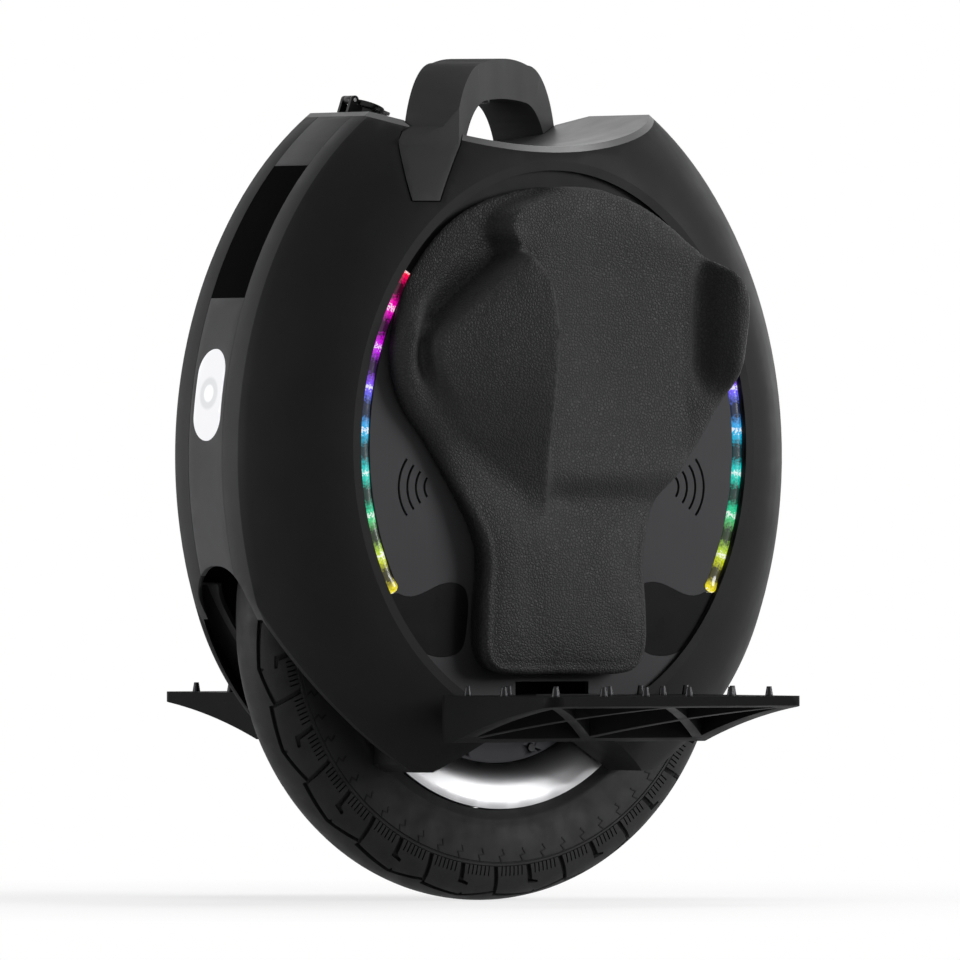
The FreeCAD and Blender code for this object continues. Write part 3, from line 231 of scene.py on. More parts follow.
def turned_metal(name, colour, roughness, axis_height):
    """Metal turned on a lathe about the wheel's axle: fine rings of uneven brightness."""
    paint = Paint(name, colour, roughness, metal=1.0, specular=0.5)
    level = paint.node("ShaderNodeVectorMath", operation="SUBTRACT")
    level.inputs[1].default_value = (0, 0, axis_height)
    paint.link(paint.place, level.inputs[0])
    flat = paint.node("ShaderNodeVectorMath", operation="MULTIPLY")
    flat.inputs[1].default_value = (1, 0, 1)
    paint.link(level.outputs[0], flat.inputs[0])
    reach = paint.node("ShaderNodeVectorMath", operation="LENGTH")
    paint.link(flat.outputs[0], reach.inputs[0])
    rings = paint.node("ShaderNodeTexNoise", noise_dimensions="1D", Scale=1 / (0.5 * MM), Detail=2.0)
    paint.link(reach.outputs["Value"], rings.inputs["W"])
    paint.mottle(30 * MM, 0.05)
    paint.link(paint.spread(rings.outputs["Fac"], roughness - 0.02, roughness + 0.03),
               paint.shader.inputs["Roughness"])
    return paint.bump(rings.outputs["Fac"], 0.002 * MM).material


# Finishes by material slot

AXLE_HEIGHT = (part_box("tyre")[0].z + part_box("tyre")[1].z) / 2


PEBBLE = 2.0 * MM
# Painted shade in the leather's hollows: how dark it gets, and the heights off the back where it is full and
# where it ends.
HOLLOW_SHADE_SHARE = 0.35
FULL_SHADE_RISE = 6 * MM
SHADE_FREE_RISE = 13 * MM


def leather(name, colour):
    """Black pebbled leather: fine irregular cells, with painted shade that darkens it in the hollows."""
    paint = Paint(name, colour, 0.5, specular=0.1)
    pebble = paint.cells(PEBBLE)
    fine = paint.noise(0.9 * MM, 4.0)
    wrinkle = paint.noise(5 * MM, 3.0)
    dark = tuple(c * 0.6 for c in colour)
    light = tuple(c * 1.15 for c in colour)
    tone = paint.ramp(pebble, [(0.0, dark), (0.12, colour), (0.5, light)])
    # Painted shade: the tone darkens where the face stands low off the pad's back.
    rise = paint.node("ShaderNodeAttribute", attribute_name="rise").outputs["Fac"]
    hollow_shade = paint.node("ShaderNodeVectorMath", operation="SCALE")
    paint.link(tone, hollow_shade.inputs[0])
    paint.link(paint.spread(rise, HOLLOW_SHADE_SHARE, 1.0, FULL_SHADE_RISE, SHADE_FREE_RISE), hollow_shade.inputs["Scale"])
    paint.link(hollow_shade.outputs[0], paint.shader.inputs["Base Color"])
    paint.link(paint.spread(fine, 0.42, 0.6), paint.shader.inputs["Roughness"])
    paint.bump(wrinkle, 0.25 * MM, 0.5)
    paint.bump(paint.spread(pebble, 0.0, 1.0, 0.0, 0.25), 0.3 * MM, 0.8)
    return paint.bump(fine, 0.16 * MM, 0.7).material


def rubber(name, colour):
    """Tyre rubber: a dull dark skin with a fine dry grain and dustier patches."""
    paint = Paint(name, colour, 0.62, specular=0.16)
    paint.mottle(22 * MM, 0.18).rough(12 * MM, 0.55, 0.72)
    paint.bump(paint.noise(3 * MM, 3.0), 0.08 * MM, 0.5)
    return paint.bump(paint.noise(0.5 * MM, 2.0), 0.03 * MM, 0.6).material


def lens(name, colour, glow, strength):
    """A frosted lamp lens with a faint even glow and flutes behind its face."""
    paint = Paint(name, colour, 0.22, specular=0.4)
    paint.mottle(12 * MM, 0.04)
    paint.shader.inputs["Emission Color"].default_value = (*glow, 1.0)
    paint.shader.inputs["Emission Strength"].default_value = strength
    return paint.bump(paint.noise(2 * MM, 2.0), 0.02 * MM).material


LAMP_CENTRE = 326 * MM
LAMP_SPAN = 20 * MM
# Half width of the shell's rim band that is painted lighter: painted light.
PAINTED_LIGHT_HALF = 37 * MM
# The side panel is painted darker from the first height to the second: painted shade in the gap above the
# pad.
PANEL_SHADE_START = 345 * MM
PANEL_SHADE_FULL = 425 * MM


def head_lamp(name):
    """A frosted white lens over one round lamp: a bright core, a grey ring round it and a pale field."""
    paint = Paint(name, (0.06, 0.06, 0.062), 0.22, specular=0.2)
    level = paint.node("ShaderNodeVectorMath", operation="SUBTRACT")
    level.inputs[1].default_value = (0, 0, LAMP_CENTRE)
    paint.link(paint.place, level.inputs[0])
    flat = paint.node("ShaderNodeVectorMath", operation="MULTIPLY")
    flat.inputs[1].default_value = (0, 1, 1)
    paint.link(level.outputs[0], flat.inputs[0])
    reach = paint.node("ShaderNodeVectorMath", operation="LENGTH")
    paint.link(flat.outputs[0], reach.inputs[0])
    away = paint.spread(reach.outputs["Value"], 0.0, 1.0, 0.0, LAMP_SPAN)
    core, field, ring = (0.92, 0.93, 0.94), (0.82, 0.82, 0.84), (0.66, 0.67, 0.68)
    stops = [(0.0, core), (0.24, core), (0.31, ring), (0.46, ring), (0.56, field), (1.0, field)]
    paint.link(paint.ramp(away, stops), paint.shader.inputs["Emission Color"])
    paint.shader.inputs["Emission Strength"].default_value = 1.0
    paint.mottle(12 * MM, 0.04)
    return paint.bump(paint.noise(2 * MM, 2.0), 0.02 * MM).material


SADDLE = moulded("saddle_black", (0.02, 0.02, 0.0205), 0.4, specular=0.7)
# The raised sidewall marks are near black: painted shade, as if they were cut into the rubber.
TYRE_MARK_SHADE = rubber("tyre_mark", (0.0015, 0.0015, 0.0016))
SLOTS = {
    # The shell is painted lighter on its front and rear rim: painted light.
    "shell_black": painted_light_band("shell_black", (0.012, 0.012, 0.0124), (0.036, 0.036, 0.037), 0.5, PAINTED_LIGHT_HALF),
    "handle_black": moulded("handle_black", (0.042, 0.042, 0.0428), 0.45, specular=0.002),
    "strip_grey": moulded("strip_grey", (0.06, 0.06, 0.0616), 0.5, specular=0.03),
    "window_black": gloss("window_black", (0.004, 0.004, 0.0042), 0.3, specular=0.0),
    "lamp_white": head_lamp("lamp_white"),
    "tail_red": lens("tail_red", (0.35, 0.012, 0.012), (1.0, 0.03, 0.03), 0.15),
    "lamp_case": moulded("lamp_case", (0.3, 0.3, 0.3), 0.4),
    # Side panel painted darker towards its top: painted shade above the pad.
    "panel_grey": painted_shade_by_height("panel_grey", (0.034, 0.034, 0.036), (0.009, 0.009, 0.0094), 0.5, PANEL_SHADE_START,
                        PANEL_SHADE_FULL),
    "insert_gloss": gloss("insert_gloss", (0.006, 0.006, 0.0063), 0.3, specular=0.03),
    "light_strip": gloss("light_strip", (0.05, 0.05, 0.055), 0.2),
    # Leather painted darker in its hollows: painted shade.
    "pad_leather": leather("pad_leather", (0.022, 0.022, 0.0226)),
    "button_black": moulded("button_black", (0.006, 0.006, 0.0065), 0.38),
    "bezel_steel": metal("bezel_steel", (0.42, 0.42, 0.43), 0.3),
    "socket_black": moulded("socket_black", (0.006, 0.006, 0.0065), 0.35, specular=0.25),
    "pin_steel": metal("pin_steel", (0.5, 0.5, 0.5), 0.32),
    "frame_black": moulded("frame_black", (0.004, 0.004, 0.0042), 0.55, specular=0.0),
    "stator_core": metal("stator_core", (0.32, 0.3, 0.29), 0.4, (0.2, 8.0, 0.2)),
    "magnet_nickel": metal("magnet_nickel", (0.55, 0.54, 0.5), 0.28),
    "hanger_black": moulded("hanger_black", (0.008, 0.008, 0.0085), 0.42, specular=0.05),
    "pedal_black": moulded("pedal_black", (0.006, 0.006, 0.0063), 0.46, specular=0.02),
    "stud_steel": metal("stud_steel", (0.018, 0.018, 0.019), 0.4),
    "tyre": rubber("tyre", (0.011, 0.011, 0.0115)),
    "valve_rubber": rubber("valve_rubber", (0.012, 0.012, 0.012)),
    "rim_alloy": turned_metal("rim_alloy", (0.42, 0.42, 0.43), 0.34, AXLE_HEIGHT),
    "motor_cover": turned_metal("motor_cover", (0.05, 0.05, 0.055), 0.42, AXLE_HEIGHT),
    "bearing_steel": metal("bearing_steel", (0.6, 0.6, 0.6), 0.22),
    "screw_steel": metal("screw_steel", (0.1, 0.1, 0.105), 0.36),
    "battery_wrap": gloss("battery_wrap", (0.02, 0.05, 0.16), 0.3),
    "speaker_black": moulded("speaker_black", (0.012, 0.012, 0.012), 0.6),
    "sink_alloy": metal("sink_alloy", (0.5, 0.5, 0.52), 0.4, (8.0, 0.5, 8.0)),
    "board_green": moulded("board_green", (0.01, 0.06, 0.025), 0.35, specular=0.3),
    "cable_rubber": moulded("cable_rubber", (0.012, 0.012, 0.012), 0.55),
}

# Solids that stay: each gets its slot's finish, and the top cover the saddle's; the hard edges of those
# listed are eased as a moulding's are

EASED_EDGE = {
    "carry_handle": 2.4 * MM, "left_pedal": 1.2 * MM, "right_pedal": 1.2 * MM,
    "left_pedal_hanger": 1.0 * MM, "right_pedal_hanger": 1.0 * MM, "left_shell": 0.8 * MM,
    "right_shell": 0.8 * MM, "charge_cap": 0.6 * MM, "charge_socket": 0.4 * MM,
    "left_side_panel": 0.4 * MM, "right_side_panel": 0.4 * MM, "left_panel_inserts": 0.5 * MM,
    "right_panel_inserts": 0.5 * MM, "front_window": 0.3 * MM, "front_strip": 0.3 * MM,
    "front_upper_trim": 0.3 * MM, "rear_strip": 0.3 * MM, "headlight_lens": 0.6 * MM,
    "tail_light_lens": 0.6 * MM, "power_bezel": 0.4 * MM, "power_button": 0.4 * MM, "lift_button": 0.5 * MM,
    "rim": 0.6 * MM, "left_motor_cover": 0.5 * MM, "right_motor_cover": 0.5 * MM,
    "left_pedal_studs": 0.4 * MM, "right_pedal_studs": 0.4 * MM,
}
SMOOTH_ANGLE = math.radians(32)
WELD_REACH = 0.002 * MM


def ease_edges(obj, width):
    """Joins the solid's split edges and rounds its hard ones by width."""
    weld = obj.modifiers.new("weld", "WELD")
    weld.merge_threshold = WELD_REACH
    ease = obj.modifiers.new("ease", "BEVEL")
    ease.width = width
    ease.segments = 2
    ease.limit_method = "ANGLE"
    ease.angle_limit = SMOOTH_ANGLE
    ease.use_clamp_overlap = True
    ease.harden_normals = True


for part in frame["record"]["subparts"]:
    solid = NODES[part["node"]]
    solid.data.materials.clear()
    solid.data.materials.append(SADDLE if part["node"] == "top_cover" else SLOTS[part["material_slot"]])
    if part["node"] in EASED_EDGE:
        ease_edges(solid, EASED_EDGE[part["node"]])

# Building helpers


def add_mesh(name, mesh, material):
    """A new object from a bmesh, smooth but for its sharp edges."""
    data = bpy.data.meshes.new(name)
    mesh.to_mesh(data)
    mesh.free()
    obj = bpy.data.objects.new(name, data)
    bpy.context.scene.collection.objects.link(obj)
    data.materials.append(material)
    data.shade_smooth()
    data.set_sharp_from_angle(angle=SMOOTH_ANGLE)
    return obj


# Tyre: a smooth carcass with a zigzag rib, shoulder blocks and sidewall marks laid on it

TYRE_LOW, TYRE_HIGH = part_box("tyre")
TYRE_RADIUS = (TYRE_HIGH.z - TYRE_LOW.z) / 2
TYRE_HALF = TYRE_HIGH.y
RIM_REACH = (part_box("rim")[1].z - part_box("rim")[0].z) / 2
BELLY_RADIUS = TYRE_RADIUS - 30 * MM
TREAD_PITCHES = 20
TREAD_DEPTH = 3.4 * MM
TREAD_PITCH = 2 * math.pi * TYRE_RADIUS / TREAD_PITCHES
GROOVE = 2.9 * MM
SHOULDER = 37.0 * MM
SIPE_COUNT = 6
SIPE_WIDTH = 1.0 * MM
SIPE_LENGTH = 6.5 * MM
MARKS_PER_PITCH = 3
MARK_RISE = 0.35 * MM
MARK_ROOT = 0.2 * MM
TURN_STEPS = 240


def tyre_section():
    """Half section from the crown to the bead: (reach along the curve, side, radius) points."""
    points = []
    for step in range(65):
        turn = math.radians(90 * step / 64)
        side = TYRE_HALF * math.sin(turn) ** 0.9
        points.append((side, BELLY_RADIUS + (TYRE_RADIUS - BELLY_RADIUS) * math.cos(turn) ** 0.84))
    foot = RIM_REACH + 0.6 * MM
    for step in range(1, 25):
        share = step / 24
        points.append((TYRE_HALF - 3.5 * MM * share ** 2.2, BELLY_RADIUS + (foot - BELLY_RADIUS) * share))
    rows, reach = [(0.0, *points[0])], 0.0
    for before, after in zip(points, points[1:]):
        reach += math.dist(before, after)
        rows.append((reach, *after))
    return rows


SECTION = tyre_section()
SECTION_END = SECTION[-1][0]


def on_section(reach):
    """Side, radius and outward direction at a reach from the crown, negative on the far side."""
    sign = -1 if reach < 0 else 1
    wanted = min(abs(reach), SECTION_END - 1e-6)
    low = max(index for index, row in enumerate(SECTION[:-1]) if row[0] <= wanted)
    first, last = SECTION[low], SECTION[low + 1]
    share = (wanted - first[0]) / (last[0] - first[0])
    side = first[1] + share * (last[1] - first[1])
    radius = first[2] + share * (last[2] - first[2])
    along = Vector((last[1] - first[1], last[2] - first[2])).normalized()
    return sign * side, radius, Vector((-sign * along.y, along.x))


def on_tyre(around, reach, rise):
    """A point of the tyre: distance around the tread, reach across it, height above its surface."""
    side, radius, out = on_section(reach)
    turn = -around / TYRE_RADIUS
    radius += rise * out.y
    return Vector((radius * math.sin(turn), side + rise * out.x, AXLE_HEIGHT - radius * math.cos(turn)))


def flat_patch(outline):
    """A flat face with that outline, cut into small faces that can bend over the tyre."""
    patch = bmesh.new()
    patch.faces.new([patch.verts.new((around, reach, 0)) for around, reach in outline])
    patch.normal_update()
    bmesh.ops.triangulate(patch, faces=patch.faces[:], ngon_method="EAR_CLIP")
    for axis, step in ((0, TREAD_PITCH / 9), (1, 3 * MM)):
        low = min(vert.co[axis] for vert in patch.verts)
        high = max(vert.co[axis] for vert in patch.verts)
        normal = Vector((1 - axis, axis, 0))
        for index in range(math.ceil(low / step), math.floor(high / step) + 1):
            everything = patch.verts[:] + patch.edges[:] + patch.faces[:]
            bmesh.ops.bisect_plane(patch, geom=everything, dist=1e-7, plane_co=normal * index * step,
                                   plane_no=normal)
    return patch


def lay_on_tyre(mesh, outline, copies, pitch, far_side, rise, foot, joint=None):
    """Wraps copies of a flat outline round the tyre, with walls down to foot but not along a joint."""
    patch = flat_patch(outline)
    for index in range(copies):
        tops, feet = {}, {}
        for vert in patch.verts:
            around, reach = vert.co.x + index * pitch, vert.co.y
            if far_side:
                around, reach = around + pitch / 2, -reach
            tops[vert] = mesh.verts.new(on_tyre(around, reach, rise))
            feet[vert] = on_tyre(around, reach, foot)
        for face in patch.faces:
            corners = [tops[vert] for vert in face.verts]
            mesh.faces.new(corners[::-1] if far_side else corners)
        for edge in patch.edges:
            if not edge.is_boundary or (joint and joint(edge)):
                continue
            start = edge.link_loops[0].vert
            wall = [tops[start], tops[edge.other_vert(start)]]
            wall += [mesh.verts.new(feet[edge.other_vert(start)]), mesh.verts.new(feet[start])]
            mesh.faces.new(wall if far_side else wall[::-1])
    patch.free()


def rib_outline():
    """One pitch of the smooth rib: each edge runs in a little, then out, then steps back."""
    wide, narrow, step, seam = 13.6 * MM, 10.4 * MM, 16.8 * MM, 10.74 * MM
    return [
        (0, -seam), (0.06 * TREAD_PITCH, -narrow), (0.5 * TREAD_PITCH, -step), (0.5 * TREAD_PITCH, -wide),
        (TREAD_PITCH, -seam), (TREAD_PITCH, wide), (TREAD_PITCH, step), (0.56 * TREAD_PITCH, narrow),
        (0, wide),
    ]


def rib_joint(edge):
    """True where the rib's pitches join, so that no wall stands between them."""
    ends = [vert.co for vert in edge.verts]
    at_end = all(abs(end.x) < 1e-6 for end in ends) or all(abs(end.x - TREAD_PITCH) < 1e-6 for end in ends)
    return at_end and max(end.y for end in ends) < 13.7 * MM


def sipes(start, end):
    """Short slits into the shoulder between two places, drawn from start to end."""
    points = []
    lean = 0.6 * MM
    for index in range(SIPE_COUNT):
        middle = start + (end - start) * (index + 0.5) / SIPE_COUNT
        half = math.copysign(SIPE_WIDTH / 2, end - start)
        points += [(middle - half, SHOULDER), (middle - half + lean, SHOULDER - SIPE_LENGTH),
                   (middle + half + lean, SHOULDER - SIPE_LENGTH), (middle + half, SHOULDER)]
    return points


def block_outline():
    """One pitch of shoulder block: zigzag inner edge, a hooked notch half way and sipes outside."""
    notch, slant = 3.8 * MM, 5.0 * MM
    bend = 0.56 * TREAD_PITCH
    first = notch / 2 - slant
    last = TREAD_PITCH - notch / 2 - slant
    near = (first + last) / 2 - notch / 2
    far = near + notch
    margin = 2.0 * MM
    inner = [(notch / 2, 13.6 * MM + GROOVE), (bend - 0.5 * MM, 10.4 * MM + GROOVE),
             (bend + 0.5 * MM, 13.0 * MM + GROOVE), (bend + 2.0 * MM, 10.8 * MM + GROOVE),
             (TREAD_PITCH - notch / 2, 16.2 * MM + GROOVE)]
    hook = [(far, SHOULDER), (far + 2.5 * MM, 26.0 * MM), (far + 7.6 * MM, 24.4 * MM),
            (far + 7.4 * MM, 22.4 * MM), (near + 3.0 * MM, 23.4 * MM), (near, SHOULDER)]
    outer = [(last, SHOULDER)] + sipes(last - margin, far + margin) + hook
    outer += sipes(near - margin, first + margin) + [(first, SHOULDER)]
    return inner + outer


def stroke(points, width):
    """The outline of a line of that width through points, bent sharply."""
    left, right = [], []
    for index, point in enumerate(points):
        before = Vector(points[max(index - 1, 0)])
        after = Vector(points[min(index + 1, len(points) - 1)])
        along = (after - before).normalized()
        across = Vector((-along.y, along.x)) * width / 2
        left.append(tuple(Vector(point) + across))
        right.append(tuple(Vector(point) - across))
    return left + right[::-1]


def sidewall_mark():
    """A small lightning-shaped mark that hangs from the shoulder line."""
    start = SHOULDER + 3.0 * MM
    return stroke([(0, start), (-2.2 * MM, start + 3.6 * MM), (2.4 * MM, start + 4.6 * MM),
                   (0.4 * MM, start + 8.4 * MM)], 1.2 * MM)


def carcass(mesh):
    """The tyre's body: the tread's floor, a thin line round each shoulder, and smooth sidewalls."""
    line = SHOULDER + 2.4 * MM
    rows = [(reach * SHOULDER / 12, -TREAD_DEPTH) for reach in range(12)]
    rows += [(SHOULDER - 0.4 * MM, -TREAD_DEPTH), (SHOULDER, -0.6 * MM), (SHOULDER + 0.6 * MM, 0.0),
             (line - 0.6 * MM, 0.0), (line - 0.2 * MM, -0.7 * MM), (line + 0.2 * MM, -0.7 * MM),
             (line + 0.6 * MM, 0.0)]
    rest = SECTION_END - line
    rows += [(line + rest * share / 14, 0.0) for share in range(1, 11)]
    rows += [(line + rest * 0.76, 0.5 * MM), (line + rest * 0.82, 0.5 * MM), (line + rest * 0.86, 0.0),
             (SECTION_END, 0.0), (SECTION_END, -4 * MM)]
    rows = [(-reach, rise) for reach, rise in rows[:0:-1]] + rows
    rings = []
    for index in range(TURN_STEPS):
        around = 2 * math.pi * TYRE_RADIUS * index / TURN_STEPS
        rings.append([mesh.verts.new(on_tyre(around, reach, rise)) for reach, rise in rows])
    for index, ring in enumerate(rings):
        after = rings[(index + 1) % TURN_STEPS]
        for low in range(len(rows) - 1):
            mesh.faces.new((after[low], after[low + 1], ring[low + 1], ring[low]))


def tyre():
    mesh = bmesh.new()
    carcass(mesh)
    lay_on_tyre(mesh, rib_outline(), TREAD_PITCHES, TREAD_PITCH, False, 0.0, -TREAD_DEPTH, rib_joint)
    bmesh.ops.remove_doubles(mesh, verts=mesh.verts[:], dist=0.01 * MM)
    count = TREAD_PITCHES * MARKS_PER_PITCH
    marks = bmesh.new()
    for far_side in (False, True):
        lay_on_tyre(mesh, block_outline(), TREAD_PITCHES, TREAD_PITCH, far_side, 0.0, -TREAD_DEPTH)
        lay_on_tyre(marks, sidewall_mark(), count, TREAD_PITCH / MARKS_PER_PITCH, far_side, MARK_RISE,
                    -MARK_ROOT)
    tread = add_mesh("tyre_tread", mesh, SLOTS["tyre"])
    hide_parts("tyre")
    # The marks take the near-black tone of painted shade.
    for obj in (tread, add_mesh("tyre_marks", marks, TYRE_MARK_SHADE)):
        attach(obj, "wheel")


# Leg pads: moulded foam under leather, shaped place by place and then filled

PAD_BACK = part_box("left_leg_pad")[0].y
PAD_EDGE = 4.0 * MM
PAD_LIFT_START = -92.0 * MM
PAD_LIFT_SLOPE = 0.306
PAD_TURNS = 300
PAD_RINGS = 80
PAD_VOXEL = 2.6 * MM
PAD_COARSE = 6.0 * MM
PAD_HELD = 3.0 * MM
PAD_SWELL = 2.0 * MM
PAD_FRAMES = 14
PAD_CENTRE = Vector((-2 * MM, 318 * MM))
PAD_OUTLINE = (
    (0, 146), (42, 146), (57, 150), (63.5, 163), (63, 190), (61, 219), (66, 238), (76, 256), (88, 275),
    (103, 297), (118, 316), (126, 336), (127, 354), (122, 378), (112, 401), (96, 422), (78, 438), (54, 450),
    (26, 457), (0, 459), (-26, 457), (-52, 449), (-76, 436), (-97, 421), (-116, 407), (-125.5, 395),
    (-128, 380), (-126, 356), (-121, 330), (-110, 309), (-98, 289), (-80, 266), (-66, 244), (-59, 219),
    (-61, 190), (-61.5, 163), (-55, 150), (-40, 146),
)


def smooth_step(low, high, value):
    share = min(max((value - low) / (high - low), 0.0), 1.0)
    return share * share * (3 - 2 * share)


def soft_low(first, second, width):
    """The lower of two values, with the corner between them rounded over width."""
    share = max(width - abs(first - second), 0.0) / width
    return min(first, second) - share * share * width / 4


def soft_high(first, second, width):
    return -soft_low(-first, -second, width)


def hill(value, width):
    return math.exp(-(value / width) ** 2)


def through(value, rows):
    """A smooth run through (place, height) rows, level beyond the ends."""
    if value <= rows[0][0]:
        return rows[0][1]
    if value >= rows[-1][0]:
        return rows[-1][1]
    low = max(index for index, row in enumerate(rows[:-1]) if row[0] <= value)

    def slope(index):
        if index in (0, len(rows) - 1):
            return 0.0
        before, after = rows[index - 1], rows[index + 1]
        return (after[1] - before[1]) / (after[0] - before[0])

    (begin, first), (end, last) = rows[low], rows[low + 1]
    span = end - begin
    share = (value - begin) / span
    back = 1 - share
    return (first * back * back * (1 + 2 * share) + last * share * share * (3 - 2 * share)
            + slope(low) * span * share * back * back - slope(low + 1) * span * share * share * back)


def pad_middle(x, z):
    """The hollow for the shin above, the block below it and the dip between, in millimetres."""
    block = through(z, ((146, 17.0), (180, 19.0), (232, 18.5), (282, 17.5), (345, 14.0), (400, 16.5),
                        (430, 20.5), (455, 22.0)))
    wide = smooth_step(42, -4, x)
    dip = 6.5 * hill(z - 257, 17 if z < 257 else 10)
    shin = 1.5 * hill(x + 30, 34) * smooth_step(290, 330, z)
    return block - shin + wide * (1.8 * hill(z - 277, 9) - dip)


def pad_brow(x, z, inset):
    """The front edge outside the wing's flat face: a rolled rim, with a low valley beside the face."""
    roll = through(z, ((230, 18.0), (270, 12.5), (310, 14.5), (350, 18.0), (390, 19.0)))
    slope = 3.0 + 0.3 * min(inset, 20)
    edge = roll + (slope - roll) * smooth_step(362, 402, z)
    valley = smooth_step(9, 26, inset) * smooth_step(318, 350, z) * smooth_step(30, 50, x)
    return edge - valley * max(edge - 7.0, 0.0)


def pad_depth(x, z, inset):
    """Height of the pad's face off its back at a place that lies inset from the outline, in millimetres."""
    crest = through(z, ((232, 14), (265, 17), (286, 20.6), (304, 24), (333, 27), (366, 27.5), (392, 29),
                        (405, 34), (413, 40), (422, 45)))
    height = through(z, ((228, 14), (262, 19.5), (286, 28), (304, 37), (333, 48), (366, 52), (392, 48),
                         (413, 43.5), (420, 42)))
    top = -0.633 * (x - 43) - 0.774 * (z - 415.6)
    under = -0.863 * (x - 110) + 0.507 * (z - 335)
    inside = soft_low(soft_low(top, 109 - x, 10), under, 24)
    middle = pad_middle(x, z)
    border = through(z, ((240, 24), (286, 30), (392, 34), (413, 41), (433, 49), (444, 44), (458, 10)))
    ground = middle + (pad_brow(x, z, inset) - middle) * smooth_step(border - 8, border + 8, x)
    blur = 3.2 + 12 * smooth_step(350, 300, z)
    wing = soft_low(height - 0.325 * (x - crest), height + 4.0 * (x - crest), 5.5)
    depth = ground + soft_high(wing - ground, 0.0, 3.0) * smooth_step(-blur, blur, inside)
    lid = 0.655 * (x - 44) - 0.755 * (z - 421)
    along = 0.755 * (x - 44) + 0.655 * (z - 421)
    depth += hill(along, 10) * (2.4 * hill(lid + 5.5, 5.0) - 2.8 * hill(lid - 1.0, 4.2))
    lip = smooth_step(318, 346, z) * smooth_step(424, 404, z)
    depth += lip * (13.0 * smooth_step(-104, -121, x) - 5.0 * hill(x + 103, 5))
    return max(depth, 7.0)


def round_outline(points, count):
    """A smooth closed curve through points, cut into count even steps, in metres."""
    fine = []
    total = len(points)
    for index in range(total):
        before, start, end, after = (Vector(points[(index + step) % total]) for step in (-1, 0, 1, 2))
        for step in range(24):
            share = step / 24
            bend = (2 * start + (end - before) * share
                    + (2 * before - 5 * start + 4 * end - after) * share ** 2
                    + (3 * start - before - 3 * end + after) * share ** 3)
            fine.append(bend / 2 * MM)
    lengths = [0.0]
    for index in range(len(fine)):
        lengths.append(lengths[-1] + (fine[(index + 1) % len(fine)] - fine[index]).length)
    even, low = [], 0
    for step in range(count):
        wanted = lengths[-1] * step / count
        while lengths[low + 1] < wanted:
            low += 1
        share = (wanted - lengths[low]) / (lengths[low + 1] - lengths[low])
        even.append(fine[low].lerp(fine[(low + 1) % len(fine)], share))
    return even


def point_tree(points):
    tree = kdtree.KDTree(len(points))
    for number, point in enumerate(points):
        tree.insert(point, number)
    tree.balance()
    return tree


PAD_EDGE_TREE = point_tree([(spot.x, 0, spot.y) for spot in round_outline(PAD_OUTLINE, 5 * PAD_TURNS)])


def pad_inset(x, z):
    """Distance from a place on the pad to its outline."""
    return PAD_EDGE_TREE.find((x, 0, z))[2]


def pad_back(x):
    """The pad's back, which stands off the panel behind the rear lip."""
    return PAD_BACK + PAD_LIFT_SLOPE * max(PAD_LIFT_START - x, 0.0)


def pad_face(x, z):
    """Side position of the pad's face: a steep edge, a roll, and then the face's own depth."""
    radius = (4.5 + 9.5 * smooth_step(0, 60 * MM, x) * smooth_step(262 * MM, 318 * MM, z)) * MM
    inset = pad_inset(x, z)
    depth = pad_depth(x / MM, z / MM, inset / MM) * MM
    share = min(inset / radius, 1.0)
    edge = max(depth - radius, PAD_EDGE)
    return pad_back(x) + edge + (depth - edge) * math.sqrt(1 - (1 - share) ** 2)


def pad_blank():
    """The closed cushion before it is filled: rings from the middle to the outline, and a back."""
    mesh = bmesh.new()
    outline = round_outline(PAD_OUTLINE, PAD_TURNS)
    rings = []
    for ring in range(1, PAD_RINGS + 1):
        share = 1 - (1 - ring / PAD_RINGS) ** 1.3
        places = [PAD_CENTRE.lerp(spot, share) for spot in outline]
        rings.append([mesh.verts.new((place.x, pad_face(place.x, place.y), place.y)) for place in places])
    for share in (0.985, 0.8, 0.55, 0.3, 0.1):
        places = [PAD_CENTRE.lerp(spot, share) for spot in outline]
        rings.append([mesh.verts.new((place.x, pad_back(place.x), place.y)) for place in places])
    for ring, after in zip(rings, rings[1:]):
        for index in range(PAD_TURNS):
            turn = (index + 1) % PAD_TURNS
            mesh.faces.new((ring[index], ring[turn], after[turn], after[index]))
    mesh.faces.new(rings[0][::-1])
    mesh.faces.new(rings[-1])
    bmesh.ops.recalc_face_normals(mesh, faces=mesh.faces[:])
    return mesh


def remesh(obj, size):
    """Even faces about size across."""
    obj.data.remesh_voxel_size = size
    with bpy.context.temp_override(active_object=obj, object=obj, selected_objects=[obj]):
        bpy.ops.object.voxel_remesh()


def fill_moves(blank):
    """Fills a coarse copy of the cushion under pressure: its points at rest, and how far each one moves."""
    obj = add_mesh("pad_fill", blank, SLOTS["pad_leather"])
    remesh(obj, PAD_COARSE)
    before = [vert.co.copy() for vert in obj.data.vertices]
    held = obj.vertex_groups.new(name="back")
    low = [number for number, place in enumerate(before) if place.y < pad_back(place.x) + PAD_HELD]
    held.add(low, 1.0, "REPLACE")
    cloth = obj.modifiers.new("fill", "CLOTH")
    settings = cloth.settings
    settings.quality = 4
    settings.mass = 0.3
    settings.tension_stiffness = 40
    settings.compression_stiffness = 40
    settings.shear_stiffness = 20
    settings.bending_stiffness = 5
    settings.use_pressure = True
    settings.uniform_pressure_force = 3.0
    settings.vertex_group_mass = "back"
    settings.effector_weights.gravity = 0.0
    scene = bpy.context.scene
    for number in range(1, PAD_FRAMES + 1):
        scene.frame_set(number)
    swollen = obj.evaluated_get(bpy.context.evaluated_depsgraph_get()).to_mesh()
    moves = []
    for old, vert in zip(before, swollen.vertices):
        move = vert.co - old
        moves.append(move * min(PAD_SWELL / max(move.length, 1e-9), 1.0))
    scene.frame_set(1)
    bpy.data.objects.remove(obj)
    return before, moves


